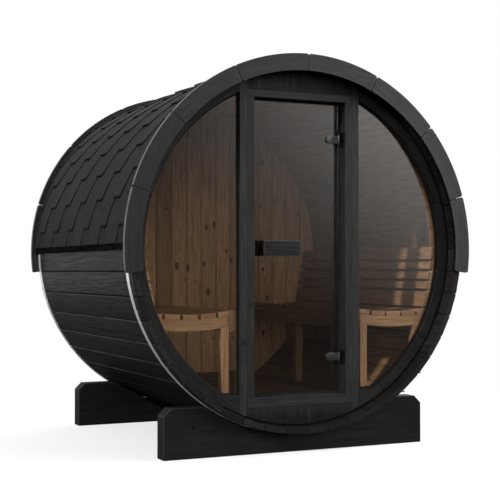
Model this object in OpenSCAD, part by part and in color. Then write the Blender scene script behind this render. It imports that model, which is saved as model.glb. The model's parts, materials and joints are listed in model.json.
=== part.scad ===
// Barrel sauna on two cradles: a ring of straight staves held by steel straps, a glazed front
// wall with a glass door set back inside the staves, a boarded back wall, a shingled upper half
// with an arched fascia at each end, and two dished benches with leaning backrests inside.
// Millimetres. X to the right of someone facing the door, Y from the front to the back, Z up.
// The origin is on the ground under the middle of the barrel.

/* [Barrel] */
// Diameter over the outer corners of the staves
barrel_d = 2060; // [1800:10:2400]
// Number of staves round the barrel
stave_n = 48; // [36:4:60]
// Length of the staves
stave_len = 1816; // [1500:4:2600]
// Thickness of a stave
stave_t = 36; // [28:1:45]
// Bevel on the two outer edges of a stave
stave_bevel = 6; // [3:0.5:10]
// Height of the lowest stave above the ground
barrel_lift = 105; // [80:5:160]

/* [Cradles] */
// How far each end of a cradle stays inside the barrel's side
cradle_side = 222; // [120:2:330]
// Height of a cradle at its ends
cradle_h = 274; // [220:2:330]
// Thickness of a cradle along the barrel
cradle_t = 96; // [60:2:120]
// Chamfer on the two upper corners of a cradle
cradle_chamfer = 43; // [15:1:60]
// Distance from the stave end to the near face of the cradle
cradle_inset = 98; // [85:1:300]

/* [Roof] */
// Angle from the top down to each lower edge of the roof covering, degrees
roof_half_angle = 89; // [80:0.5:95]
// Thickness of the roof covering, underlay and shingles together
roof_t = 9; // [6:0.5:14]
// Height of the edge batten under each side of the roof
edge_batten_h = 36; // [20:1:50]
// Thickness of the edge batten
edge_batten_t = 14; // [8:1:20]

/* [Fascia] */
// Angle that one fascia segment covers, degrees
fascia_step = 24.43; // [20:0.01:25]
// Number of segments in each fascia
fascia_n = 8; // [6:2:8]
// Radial width of the fascia boards
fascia_w = 94; // [70:1:130]
// Thickness of the fascia boards
fascia_t = 25; // [15:1:35]
// How far the fascia stands out past the stave corners
fascia_proud = 40; // [24:1:60]
// Rounding on the outer corners of a fascia segment
fascia_round = 12; // [5:1:20]
// Rounding on the inner corners of the fascia and window frame segments
notch_round = 7; // [3:0.5:9]

/* [Straps] */
// Width of a steel strap
strap_w = 38; // [20:1:44]
// Thickness of a steel strap
strap_t = 1.5; // [1:0.1:2.5]
// Distance from the front stave ends to the middle of the front strap
front_strap_at = 75; // [50:1:75]
// Distance from the back stave ends to the middle of the back strap
back_strap_at = 36; // [24:1:70]
// Angle of the strap tensioner, clockwise from the top seen from the front, degrees
tension_at = 137; // [125:0.5:140]
// Distance between the two bent ears of the tensioner
ear_span = 150; // [80:2:180]
// Height of an ear above the strap
ear_h = 40; // [28:1:50]
// Diameter of the tension bolt
bolt_d = 10; // [6:0.5:12]

/* [Front wall] */
// Distance from the front stave ends back to the face of the front wall
wall_recess = 75; // [40:1:200]
// Thickness of the front wall
wall_t = 55; // [45:1:80]
// Radial width of the arched window frames
window_frame_w = 65; // [45:1:90]
// Width of the shadow gap between the front wall's face and the staves
shadow_gap_w = 10; // [4:0.5:15]
// Depth of the shadow gap
shadow_gap_d = 18; // [8:1:30]
// Width of a door post
post_w = 45; // [35:1:60]
// Height of the window bottoms above the ground
window_bottom = 333; // [320:1:420]
// Thickness of the window panes
pane_t = 6; // [4:1:10]
// Depth of the groove that holds a pane
pane_groove = 10; // [6:0.5:14]
// Distance from the wall face back to the panes
pane_set = 26; // [15:1:30]

/* [Door] */
// Clear width between the door jambs
door_opening_w = 574; // [520:2:640]
// Height of the sill's top above the ground
sill_top = 310; // [300:1:340]
// Distance from the top of the front wall down to the door head's underside
head_drop = 163.5; // [162:0.5:320]
// Width of the jambs and height of the head
jamb_w = 43; // [35:1:55]
// Height of the sill
sill_h = 55; // [35:1:60]
// Depth of the door frame along the barrel
frame_depth = 105; // [90:1:140]
// Width of the stop under the door head
stop_w = 20; // [10:1:30]
// Width of the stops on the jambs
jamb_stop_w = 38; // [15:1:45]
// Thickness of the door glass
door_glass_t = 8; // [6:1:10]
// Distance from the wall face back to the door glass
door_set = 65; // [58:1:72]
// Gap round the door glass
door_gap = 6; // [5:0.5:8]
// Distance from the sill's top up to the lower hinge's middle
hinge_low_up = 207; // [110:1:400]
// Distance from the door head down to the upper hinge's middle
hinge_high_down = 206; // [110:1:400]
// Length of a hinge clamp on the glass
clamp_len = 84; // [60:1:110]
// Height of a hinge clamp
clamp_h = 44; // [36:1:60]
// Height of a hinge plate on the jamb
hinge_plate_h = 80; // [76:1:110]
// Width of the handle block
handle_w = 231; // [160:1:260]
// Height of the handle block
handle_h = 87; // [50:1:110]
// Thickness of the handle block
handle_t = 32; // [20:1:36]
// Finger room between the handle block and the glass
handle_gap = 23; // [18:1:25]
// Distance from the door glass's free edge to the handle
handle_edge = 55; // [40:1:90]
// How far the handle's middle is below the barrel's axis
handle_below = 3; // [-120:1:180]

/* [Back wall] */
// Thickness of the back wall boards
back_wall_t = 40; // [28:1:50]
// Distance from the back stave ends to the outer face of the back wall
back_wall_recess = 16; // [5:1:100]
// Number of boards across the back wall
back_board_n = 18; // [12:2:24]
// Bevel along the edges of the back wall boards
back_bevel = 5; // [2:0.5:8]

/* [Floor] */
// Height of the floor boards' top above the ground
floor_top = 300; // [285:1:320]
// Thickness of the floor boards
floor_t = 27; // [20:1:32]
// Distance from the outer floor boards to the staves
floor_edge = 8; // [3:0.5:30]
// Gap between floor boards
floor_gap = 8; // [4:0.5:15]
// Number of floor boards
floor_n = 9; // [5:2:13]
// Height of a floor joist
joist_h = 80; // [40:1:90]
// Thickness of a floor joist along the barrel
joist_t = 45; // [35:1:60]

/* [Benches] */
// How far the bench's edges are below the barrel's axis
bench_below = 347; // [315:1:395]
// Distance from the seat's outer edge to the staves
seat_clear = 34.7; // [20:0.1:60]
// Depth of the dish in the seat
seat_dish = 20; // [8:1:30]
// Width of a seat slat
slat_w = 90; // [70:1:92]
// Thickness of a seat slat
slat_t = 27; // [20:1:32]
// Gap between seat slats
slat_gap = 13.5; // [6:0.5:18]
// Width of the narrow first slat behind the apron
nosing_w = 65; // [40:1:80]
// Height of the apron board
apron_h = 115; // [80:1:140]
// Thickness of the apron board
apron_t = 28; // [18:1:35]
// Height of a curved bearer
bearer_h = 60; // [45:1:80]
// Thickness of a bearer, and side of a square inner leg
leg_w = 45; // [35:1:60]

/* [Backrests] */
// Distance from the seat's outer edge in to the backrest's lower edge
backrest_set = 52; // [35:1:95]
// Lean of the backrest, degrees from upright
backrest_lean = 11; // [4:0.5:16]
// Gap between the seat's edge and the lowest backrest slat
backrest_foot = 7; // [3:0.5:20]
// Heights of the backrest slats: lowest, the three middle ones, highest
rest_low_h = 90; // [60:1:110]
rest_mid_h = 43; // [30:1:60]
rest_top_h = 73; // [50:1:90]
// Gap between backrest slats
rest_gap = 17; // [8:0.5:25]
// Thickness of the backrest slats
rest_t = 28; // [18:1:32]

/* [Hidden] */
$fn = 96;
seat_fit = 0.3;                 // clearance where one piece seats on another
joint_gap = 0.4;                // hairline between like boards side by side
beyond = 5;                     // how far a cutter runs past what it cuts
far = 3000;                     // longer than the barrel is wide, for wedges

// Barrel section
barrel_r = barrel_d / 2;
half_step = 180 / stave_n;
face_r = barrel_r * cos(half_step);             // distance from the axis to the outer stave faces
inner_r = face_r - stave_t;                     // distance from the axis to the inner stave faces
edge_half = face_r * tan(half_step) - stave_bevel;
hug_r = sqrt(face_r * face_r + edge_half * edge_half);  // what a round strap rests on
axis_z = barrel_lift + barrel_r;
cradle_w = barrel_d - 2 * cradle_side;
fit_r = inner_r - seat_fit;                     // round pieces that fit inside the staves

// Stations along the barrel
front_y = -stave_len / 2;
back_y = stave_len / 2;
wall_y = front_y + wall_recess;
wall_back_y = wall_y + wall_t;
back_wall_y = back_y - back_wall_recess - back_wall_t;
frame_back_y = wall_y + frame_depth;
room_front_y = wall_back_y + seat_fit;
room_back_y = back_wall_y - seat_fit;
glass_y = wall_y + door_set;

// Front wall
jamb_in = door_opening_w / 2;
post_in = jamb_in + jamb_w;
post_out = post_in + post_w;
frame_in_r = fit_r - window_frame_w;
head_bottom = axis_z + fit_r - head_drop;
head_top = head_bottom + jamb_w;
sill_bottom = sill_top - sill_h;
pane_y = wall_y + pane_set;
groove_fit = 0.5;

// Door hinge: the pin stands in front of the glass, beside the right jamb
pin_r = 4;
pin_fit = 0.05;
knuckle_r = 7.5;
plate_t = 5;
knuckle_air = 2.5;
clamp_t = 8;
pin_x = jamb_in - plate_t - knuckle_air - knuckle_r;
pin_y = glass_y - clamp_t - knuckle_r + 0.5;
hinge_plate_d = 55;
glass_left = -jamb_in + door_gap;
glass_right = jamb_in - plate_t - door_gap;
handle_x = glass_left + handle_edge;
handle_z = axis_z - handle_below;
hinge_low_z = sill_top + hinge_low_up;
hinge_high_z = head_bottom - hinge_high_down;

// Half the room's width at height z
function room_half(z) = sqrt(fit_r * fit_r - (axis_z - z) * (axis_z - z));

// Floor
floor_half = room_half(floor_top - floor_t) - floor_edge;
floor_board_w = (2 * floor_half - (floor_n - 1) * floor_gap) / floor_n;

// Bench
seat_chord = nosing_w + 4 * (slat_w + slat_gap);
dish_r = seat_chord * seat_chord / (8 * seat_dish) + seat_dish / 2;
slat_lean = slat_t * seat_chord / 2 / dish_r;   // how far the tilted end slats reach out at their feet
bench_top = axis_z - bench_below;
seat_out = room_half(bench_top) - seat_clear;
seat_in = seat_out - seat_chord;
bench_inner = seat_in - joint_gap - slat_lean - apron_t;
outer_leg_in = 0.75 * seat_chord;               // from the inner leg's face to the outer leg's
backrest_inner = seat_out - backrest_set;
seat_mid = (seat_in + seat_out) / 2;
dish_z = bench_top - seat_dish + dish_r;
bearer_r = norm([dish_r + slat_t, slat_w / 2]) + seat_fit;
bench_front_y = bench_inner < post_in + joint_gap ? frame_back_y + seat_fit : room_front_y;
bench_len = room_back_y - bench_front_y;
rest_z = bench_top + backrest_foot;
rest_len = room_back_y - room_front_y;

black_stain = "#2b2c2e";
warm_wood = "#b58a5a";
steel = "#c9ccd0";
smoke_glass = "#5d5850";

// Extrudes a profile drawn in X and Z along Y, from y0 over len
module along_y(y0, len) {
    translate([0, y0 + len, 0]) rotate([90, 0, 0]) linear_extrude(len) children();
}

// Moves a profile so that the barrel's axis is its origin
module on_axis() {
    translate([0, axis_z]) children();
}

// Wedge between two angles, clockwise from the top, of less than half a turn
module wedge(a0, a1) {
    polygon([[0, 0], for (k = [0 : 4]) let (a = a0 + (a1 - a0) * k / 4) [far * sin(a), far * cos(a)]]);
}

// Flat ring sector
module sector(r0, r1, a0, a1) {
    intersection() {
        difference() {
            circle(r1, $fn = 180);
            circle(r0, $fn = 180);
        }
        wedge(a0, a1);
    }
}

// STAVES

// Half the width of a stave at distance r from the axis
function stave_half(r) = r * tan(half_step) - joint_gap / 2 / cos(half_step);

module stave_profile() {
    bevel_r = face_r - stave_bevel;
    right = [[stave_half(inner_r), inner_r], [stave_half(bevel_r), bevel_r], [edge_half, face_r]];
    polygon([for (p = right) p, for (k = [2 : -1 : 0]) [-right[k][0], right[k][1]]]);
}

// A quarter of the ring, starting at stave number first
module stave_quarter(first) {
    color(black_stain)
        for (k = [first : first + stave_n / 4 - 1])
            along_y(front_y, stave_len)
                on_axis() rotate(-(2 * k + 1) * half_step) stave_profile();
}

module staves_top() { stave_quarter(-stave_n / 8); }
module staves_right() { stave_quarter(stave_n / 8); }
module staves_bottom() { stave_quarter(3 * stave_n / 8); }
module staves_left() { stave_quarter(5 * stave_n / 8); }

// CRADLES

module cradle(y0) {
    w = cradle_w / 2;
    c = cradle_chamfer;
    color(black_stain)
        along_y(y0, cradle_t)
            difference() {
                polygon([[-w, 0], [w, 0], [w, cradle_h - c], [w - c, cradle_h],
                         [-w + c, cradle_h], [-w, cradle_h - c]]);
                on_axis() circle(hug_r + seat_fit, $fn = 180);
            }
}

module cradle_front() { cradle(front_y + cradle_inset); }
module cradle_back() { cradle(back_y - cradle_inset - cradle_t); }

// ROOF

roof_in = hug_r + seat_fit;

module roof_shell() {
    color("#4a494c")
        difference() {
            along_y(front_y + seat_fit, stave_len - 2 * seat_fit)
                on_axis() sector(roof_in, roof_in + roof_t, -roof_half_angle, roof_half_angle);
            strap_bed(front_y + front_strap_at);
            strap_bed(back_y - back_strap_at);
        }
}

// Shallow channel under the roof where a strap passes
module strap_bed(y_mid) {
    along_y(y_mid - strap_w / 2 - seat_fit, strap_w + 2 * seat_fit)
        on_axis() circle(roof_in + strap_t + seat_fit, $fn = 180);
}

module roof_edge(side) {
    top = axis_z + (roof_in) * cos(roof_half_angle) - seat_fit;
    color(black_stain)
        along_y(front_y + seat_fit, stave_len - 2 * seat_fit)
            difference() {
                translate([side > 0 ? hug_r - strap_t : -hug_r - edge_batten_t, top - edge_batten_h])
                    square([edge_batten_t + strap_t, edge_batten_h]);
                on_axis() circle(roof_in + strap_t + seat_fit, $fn = 180);
            }
}

module roof_edge_left() { roof_edge(-1); }
module roof_edge_right() { roof_edge(1); }

// FASCIA

fascia_out_r = barrel_r + fascia_proud;
fascia_in_r = fascia_out_r - fascia_w;

// What rounding takes off a corner at the origin whose piece lies up and to the right. A concave
// edge bends away below the corner, so there the circle is sunk to run into it.
module corner_waste(r, sink = 0) {
    difference() {
        translate([0, -beyond]) square([r, r + beyond]);
        translate([r, r - sink]) circle(r, $fn = 48);
    }
}

// What a joint's two rounded inner corners leave open, at angle a and inner radius r
module joint_notch(a, r) {
    rotate(-a) translate([0, r])
        for (m = [0, 1]) mirror([m, 0]) corner_waste(notch_round, notch_round * notch_round / r);
}

module fascia_segment(k) {
    a0 = (k - fascia_n / 2) * fascia_step;
    gap = joint_gap / 2 / fascia_in_r * 180 / PI;
    difference() {
        sector(fascia_in_r, fascia_out_r, a0 + gap, a0 + fascia_step - gap);
        rotate(-a0) translate([0, fascia_out_r]) mirror([0, 1]) corner_waste(fascia_round);
        rotate(-a0 - fascia_step) translate([0, fascia_out_r]) mirror([0, 1]) mirror([1, 0])
            corner_waste(fascia_round);
        joint_notch(a0, fascia_in_r);
        joint_notch(a0 + fascia_step, fascia_in_r);
    }
}

module fascia(y0) {
    color(black_stain)
        along_y(y0, fascia_t)
            on_axis() for (k = [0 : fascia_n - 1]) fascia_segment(k);
}

module front_fascia() { fascia(front_y - fascia_t); }
module back_fascia() { fascia(back_y); }

// STRAPS

strap_r = hug_r + seat_fit;
ear_t = 4;
bolt_r = bolt_d / 2;
bolt_up = strap_t + ear_h * 0.6;
nut_r = bolt_d * 0.95;
nut_t = bolt_d * 0.8;
bolt_tail = 18;

module strap(y_mid) {
    gap_half = asin(ear_span / 2 / strap_r);
    ear_foot = sqrt(strap_r * strap_r - ear_span * ear_span / 4);
    bolt_at = ear_foot + bolt_up;
    color(steel) {
        // Band with its two ends bent outward
        difference() {
            union() {
                along_y(y_mid - strap_w / 2, strap_w)
                    on_axis() difference() {
                        circle(strap_r + strap_t, $fn = 180);
                        circle(strap_r, $fn = 180);
                        wedge(tension_at - gap_half, tension_at + gap_half);
                    }
                at_tensioner(y_mid)
                    for (s = [-1, 1])
                        translate([s * (ear_span / 2 + ear_t / 2) - ear_t / 2, -strap_w / 2, ear_foot + strap_t / 2])
                            cube([ear_t, strap_w, ear_h]);
            }
            at_tensioner(y_mid)
                translate([0, 0, bolt_at]) rotate([0, 90, 0])
                    cylinder(h = 2 * ear_span, r = bolt_r + seat_fit, center = true);
        }
        // Bolt through the ears with a nut outside each
        at_tensioner(y_mid)
            translate([0, 0, bolt_at]) rotate([0, 90, 0]) {
                cylinder(h = ear_span + 2 * (ear_t + nut_t + bolt_tail), r = bolt_r, center = true);
                for (s = [-1, 1])
                    translate([0, 0, s * (ear_span / 2 + ear_t + seat_fit + nut_t / 2)])
                        cylinder(h = nut_t, r = nut_r, center = true, $fn = 6);
            }
    }
}

// Frame at the tensioner: X along the strap, Z away from the axis
module at_tensioner(y_mid) {
    translate([0, y_mid, axis_z]) rotate([0, tension_at, 0]) children();
}

module front_strap() { strap(front_y + front_strap_at); }
module back_strap() { strap(back_y - back_strap_at); }

// FRONT WALL

// Joints of the arched frame lie behind those of the fascia
frame_joints = [for (k = [2 : 6]) k * fascia_step];

// Ring cut off the wall's face next to the staves
module shadow_gap() {
    along_y(wall_y - beyond, shadow_gap_d + beyond)
        on_axis() difference() {
            circle(fit_r + beyond, $fn = 180);
            circle(fit_r - shadow_gap_w, $fn = 180);
        }
}

// Right half of the front wall outside the post, as a plate out to radius r
module beside_post(r) {
    intersection() {
        on_axis() circle(r, $fn = 180);
        translate([post_out + joint_gap, 0]) square([far, far]);
    }
}

// The window: inside radius r, beside the post and above the corner piece
module window_shape(r, grow) {
    intersection() {
        on_axis() circle(r + grow, $fn = 180);
        translate([post_out - grow, window_bottom - grow]) square([far, far]);
    }
}

module window_frame() {
    ends = concat(0, frame_joints, 180);
    gap = joint_gap / 2 / frame_in_r * 180 / PI;
    difference() {
        along_y(wall_y, wall_t)
            for (k = [0 : len(ends) - 2])
                intersection() {
                    difference() {
                        beside_post(fit_r);
                        window_shape(frame_in_r, 0);
                        on_axis() for (a = frame_joints) joint_notch(a, frame_in_r);
                    }
                    on_axis() wedge(ends[k] + gap, ends[k + 1] - gap);
                }
        along_y(pane_y - groove_fit, pane_t + 2 * groove_fit)
            window_shape(frame_in_r, pane_groove + groove_fit);
        shadow_gap();
    }
}

module window_pane() {
    along_y(pane_y, pane_t) window_shape(frame_in_r, pane_groove);
}

module window_frame_right() { color(black_stain) window_frame(); }
module window_frame_left() { color(black_stain) mirror([1, 0, 0]) window_frame(); }
module window_right() { color(smoke_glass, 0.5) window_pane(); }
module window_left() { color(smoke_glass, 0.5) mirror([1, 0, 0]) window_pane(); }

// Post of the full height of the barrel, grooved for the pane beside it
module post() {
    difference() {
        along_y(wall_y, wall_t)
            intersection() {
                on_axis() circle(fit_r, $fn = 180);
                translate([post_in + joint_gap, 0]) square([post_w - joint_gap, far]);
            }
        along_y(pane_y - groove_fit, pane_t + 2 * groove_fit)
            window_shape(frame_in_r, pane_groove + groove_fit);
        shadow_gap();
    }
}

module post_right() { color(black_stain) post(); }
module post_left() { color(black_stain) mirror([1, 0, 0]) post(); }

// Plate between the posts, from z0 to z1, cut round to the staves
module between_posts(z0, z1) {
    difference() {
        along_y(wall_y, wall_t)
            intersection() {
                on_axis() circle(fit_r, $fn = 180);
                translate([-post_in, z0]) square([2 * post_in, z1 - z0]);
            }
        shadow_gap();
    }
}

module upper_panel() { color(black_stain) between_posts(head_top + joint_gap, axis_z + barrel_r); }
module lower_panel() { color(black_stain) between_posts(0, sill_bottom - joint_gap); }

// DOOR FRAME

stop_y = glass_y + door_glass_t + door_gap;

// Jamb board with a stop batten on its inner face
module jamb() {
    z0 = sill_top + joint_gap;
    h = head_bottom - joint_gap - z0;
    translate([jamb_in, wall_y, z0]) cube([jamb_w, frame_depth, h]);
    translate([jamb_in - jamb_stop_w, stop_y, z0]) cube([jamb_stop_w - seat_fit, frame_back_y - stop_y, h]);
}

module jamb_right() { color(black_stain) jamb(); }
module jamb_left() { color(black_stain) mirror([1, 0, 0]) jamb(); }

// Rail across the doorway from z0 to z1, and its stop batten from s0 to s1
module rail(z0, z1, s0, s1) {
    half = jamb_in - jamb_stop_w - joint_gap;
    translate([-post_in, wall_y, z0]) cube([2 * post_in, frame_depth, z1 - z0]);
    translate([-half, stop_y, s0]) cube([2 * half, frame_back_y - stop_y, s1 - s0]);
}

sill_stop = 15;

module door_head() {
    color(black_stain) rail(head_bottom, head_top, head_bottom - stop_w, head_bottom - seat_fit);
}
module door_sill() {
    color(black_stain) rail(sill_bottom, sill_top, sill_top + seat_fit, sill_top + sill_stop);
}

// DOOR

glass_bottom = sill_top + door_gap;
glass_top = head_bottom - door_gap;

module door_glass() {
    color(smoke_glass, 0.5)
        translate([glass_left, glass_y, glass_bottom])
            cube([glass_right - glass_left, door_glass_t, glass_top - glass_bottom]);
}

knuckle_h = (hinge_plate_h - clamp_h) / 2 - joint_gap;

// Plate on the jamb with an upper and a lower knuckle and the pin
module hinge_plate(z) {
    translate([jamb_in - plate_t, pin_y + knuckle_r - hinge_plate_d + plate_t, z - hinge_plate_h / 2])
        cube([plate_t, hinge_plate_d, hinge_plate_h]);
    translate([pin_x, pin_y, z]) {
        cylinder(h = hinge_plate_h, r = pin_r, center = true);
        for (s = [-1, 1])
            translate([0, 0, s * (hinge_plate_h - knuckle_h) / 2]) {
                cylinder(h = knuckle_h, r = knuckle_r, center = true);
                translate([0, -knuckle_r, -knuckle_h / 2])
                    cube([jamb_in - plate_t / 2 - pin_x, 2 * knuckle_r, knuckle_h]);
            }
    }
}

// Clamp plate with a round end, from x0 to x1, with its near face at y0
module clamp_plate(x0, x1, y0) {
    r = clamp_h / 2;
    translate([0, y0 + clamp_t, 0]) rotate([90, 0, 0]) linear_extrude(clamp_t) {
        translate([x0 + r, 0]) circle(r, $fn = 64);
        translate([x0 + r, -r]) square([x1 - x0 - r, clamp_h]);
    }
}

module hinge_clamp(z) {
    left = pin_x + knuckle_r - clamp_len;
    translate([0, 0, z]) {
        difference() {
            union() {
                clamp_plate(left, pin_x + knuckle_r, glass_y - clamp_t);
                translate([pin_x, pin_y, 0]) cylinder(h = clamp_h, r = knuckle_r, center = true);
                translate([pin_x - knuckle_r, pin_y, -clamp_h / 2])
                    cube([2 * knuckle_r, glass_y - clamp_t / 2 - pin_y, clamp_h]);
            }
            translate([pin_x, pin_y, 0]) cylinder(h = 2 * clamp_h, r = pin_r + pin_fit, center = true);
        }
        clamp_plate(left, jamb_in - jamb_stop_w - door_gap, glass_y + door_glass_t);
    }
}

module hinge_plates() {
    color(steel) {
        hinge_plate(hinge_low_z);
        hinge_plate(hinge_high_z);
    }
}

module hinge_clamps() {
    color(steel) {
        hinge_clamp(hinge_low_z);
        hinge_clamp(hinge_high_z);
    }
}

// Wooden block held off the glass by two spacers, drawn with the glass face at y = 0
handle_foot_w = 34;
handle_foot_h = 52;

module handle_block() {
    translate([0, -handle_gap - handle_t, -handle_h / 2]) cube([handle_w, handle_t, handle_h]);
    for (x = [handle_foot_w, handle_w - 2 * handle_foot_w])
        translate([x, seat_fit - handle_gap, -handle_foot_h / 2])
            cube([handle_foot_w, handle_gap - seat_fit, handle_foot_h]);
}

module door_handle() {
    color(black_stain) translate([handle_x, glass_y, handle_z]) handle_block();
}
module door_handle_inside() {
    color(warm_wood) translate([handle_x, glass_y + door_glass_t, handle_z]) mirror([0, 1, 0]) handle_block();
}

// BACK WALL

module back_board(k) {
    w = 2 * fit_r / back_board_n;
    x0 = -fit_r + k * w + joint_gap / 2;
    x1 = -fit_r + (k + 1) * w - joint_gap / 2;
    b = back_bevel;
    y0 = back_wall_y;
    y1 = back_wall_y + back_wall_t;
    intersection() {
        linear_extrude(2 * axis_z)
            polygon([[x0, y0 + b], [x0 + b, y0], [x1 - b, y0], [x1, y0 + b],
                     [x1, y1 - b], [x1 - b, y1], [x0 + b, y1], [x0, y1 - b]]);
        along_y(y0 - beyond, back_wall_t + 2 * beyond) on_axis() circle(fit_r, $fn = 180);
    }
}

module back_wall() {
    color(warm_wood) for (k = [0 : back_board_n - 1]) back_board(k);
}

// FLOOR

module floor_boards() {
    pitch = floor_board_w + floor_gap;
    color(warm_wood)
        for (k = [0 : floor_n - 1]) {
            x0 = (k - floor_n / 2) * pitch + floor_gap / 2;
            near_door = min(abs(x0), abs(x0 + floor_board_w)) < post_in + joint_gap;
            y0 = near_door ? frame_back_y + seat_fit : room_front_y;
            translate([x0, y0, floor_top - floor_t]) cube([floor_board_w, room_back_y - y0, floor_t]);
        }
}

// Places along the room for what repeats at its front, middle and back, for a piece of depth d
function room_places(d) = [frame_back_y + joint_gap, (room_front_y + room_back_y - d) / 2, room_back_y - d];

module floor_joists() {
    top = floor_top - floor_t - seat_fit;
    color(warm_wood)
        for (y = room_places(joist_t))
            along_y(y, joist_t)
                intersection() {
                    on_axis() circle(fit_r, $fn = 180);
                    translate([-far / 2, top - joist_h]) square([far, joist_h]);
                }
}

// BENCHES, drawn on the right and mirrored for the left

// A board lying on the dish, centred at x, of width w
module dish_board(x, w) {
    a = asin((x - seat_mid) / dish_r);
    translate([seat_mid, 0, dish_z]) rotate([0, -a, 0])
        translate([-w / 2, bench_front_y, -dish_r - slat_t]) cube([w, bench_len, slat_t]);
}

module bench_slats() {
    dish_board(seat_in + nosing_w / 2, nosing_w);
    for (k = [0 : 3])
        dish_board(seat_in + nosing_w + slat_gap + slat_w / 2 + k * (slat_w + slat_gap), slat_w);
}

// Front, middle and back places of the bearers, and of the backrest's blocks, from y0 on
function bearer_places(y0) = [y0, (y0 + room_back_y - leg_w) / 2, room_back_y - leg_w];

module bearer_shape() {
    intersection() {
        difference() {
            translate([seat_mid, dish_z]) circle(bearer_r + bearer_h, $fn = 180);
            translate([seat_mid, dish_z]) circle(bearer_r, $fn = 180);
        }
        translate([seat_in, 0]) square([seat_chord, axis_z]);
        on_axis() circle(fit_r, $fn = 180);
    }
}

module bench_bearers() {
    for (y = bearer_places(bench_front_y)) along_y(y, leg_w) bearer_shape();
}

module bench_apron() {
    translate([bench_inner, bench_front_y, bench_top - apron_h]) cube([apron_t, bench_len, apron_h]);
}

outer_leg_w = 42;

// Column under the bearer between x0 and x0 + w, standing on z0 or on the staves
module leg_shape(x0, w, z0) {
    difference() {
        intersection() {
            translate([x0, z0]) square([w, bench_top - z0]);
            on_axis() circle(fit_r, $fn = 180);
        }
        translate([seat_mid, dish_z]) circle(bearer_r + bearer_h + seat_fit, $fn = 180);
    }
}

module bench_legs() {
    for (y = bearer_places(bench_front_y))
        along_y(y, leg_w) {
            leg_shape(seat_in, leg_w, floor_top);
            leg_shape(seat_in + outer_leg_in, outer_leg_w, 0);
        }
}

module bench_right_slats() { color(warm_wood) bench_slats(); }
module bench_right_bearers() { color(warm_wood) bench_bearers(); }
module bench_right_apron() { color(warm_wood) bench_apron(); }
module bench_right_legs() { color(warm_wood) bench_legs(); }
module bench_left_slats() { color(warm_wood) mirror([1, 0, 0]) bench_slats(); }
module bench_left_bearers() { color(warm_wood) mirror([1, 0, 0]) bench_bearers(); }
module bench_left_apron() { color(warm_wood) mirror([1, 0, 0]) bench_apron(); }
module bench_left_legs() { color(warm_wood) mirror([1, 0, 0]) bench_legs(); }

// BACKRESTS

rest_heights = [rest_low_h, rest_mid_h, rest_mid_h, rest_mid_h, rest_top_h];

// Height of slat k's lower edge along the leaning plane
function rest_at(k) = k == 0 ? 0 : rest_at(k - 1) + rest_heights[k - 1] + rest_gap;

rest_total = rest_at(4) + rest_heights[4];

// Frame on the leaning plane: X through the slats, Z up the plane
module on_lean() {
    translate([backrest_inner, 0, rest_z]) rotate([0, backrest_lean, 0]) children();
}

module backrest() {
    on_lean()
        for (k = [0 : 4])
            translate([0, room_front_y, rest_at(k)]) cube([rest_t, rest_len, rest_heights[k]]);
}

// Blocks between the slats and the staves
block_end = 8;

module backrest_blocks() {
    for (y = bearer_places(room_front_y))
        along_y(y, leg_w)
            intersection() {
                on_axis() circle(fit_r, $fn = 180);
                translate([backrest_inner, rest_z]) rotate(-backrest_lean)
                    translate([rest_t + seat_fit, block_end]) square([far, rest_total - 2 * block_end]);
            }
}

module backrest_right() { color(warm_wood) backrest(); }
module backrest_right_blocks() { color(warm_wood) backrest_blocks(); }
module backrest_left() { color(warm_wood) mirror([1, 0, 0]) backrest(); }
module backrest_left_blocks() { color(warm_wood) mirror([1, 0, 0]) backrest_blocks(); }

cradle_front();
cradle_back();
staves_top();
staves_left();
staves_right();
staves_bottom();
roof_shell();
roof_edge_left();
roof_edge_right();
front_fascia();
back_fascia();
front_strap();
back_strap();
window_frame_left();
window_frame_right();
window_left();
window_right();
post_left();
post_right();
upper_panel();
lower_panel();
jamb_left();
jamb_right();
door_head();
door_sill();
hinge_plates();
hinge_clamps();
door_glass();
door_handle();
door_handle_inside();
back_wall();
floor_boards();
floor_joists();
bench_left_slats();
bench_left_bearers();
bench_left_apron();
bench_left_legs();
bench_right_slats();
bench_right_bearers();
bench_right_apron();
bench_right_legs();
backrest_left();
backrest_left_blocks();
backrest_right();
backrest_right_blocks();
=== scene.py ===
# %% [markdown]
# # A black barrel sauna
#
# The sauna is a barrel of bevelled staves that lies on two cradles. Its upper half wears bitumen
# shingles, and its front is a glazed wall with a glass door. The solids already hold every board.
# This lesson adds what the joiner and the roofer add: eased edges, stain, wood figure, shingles,
# screws and glass. The studio light and the camera come last.

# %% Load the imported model
import json
import math
import random

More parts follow.
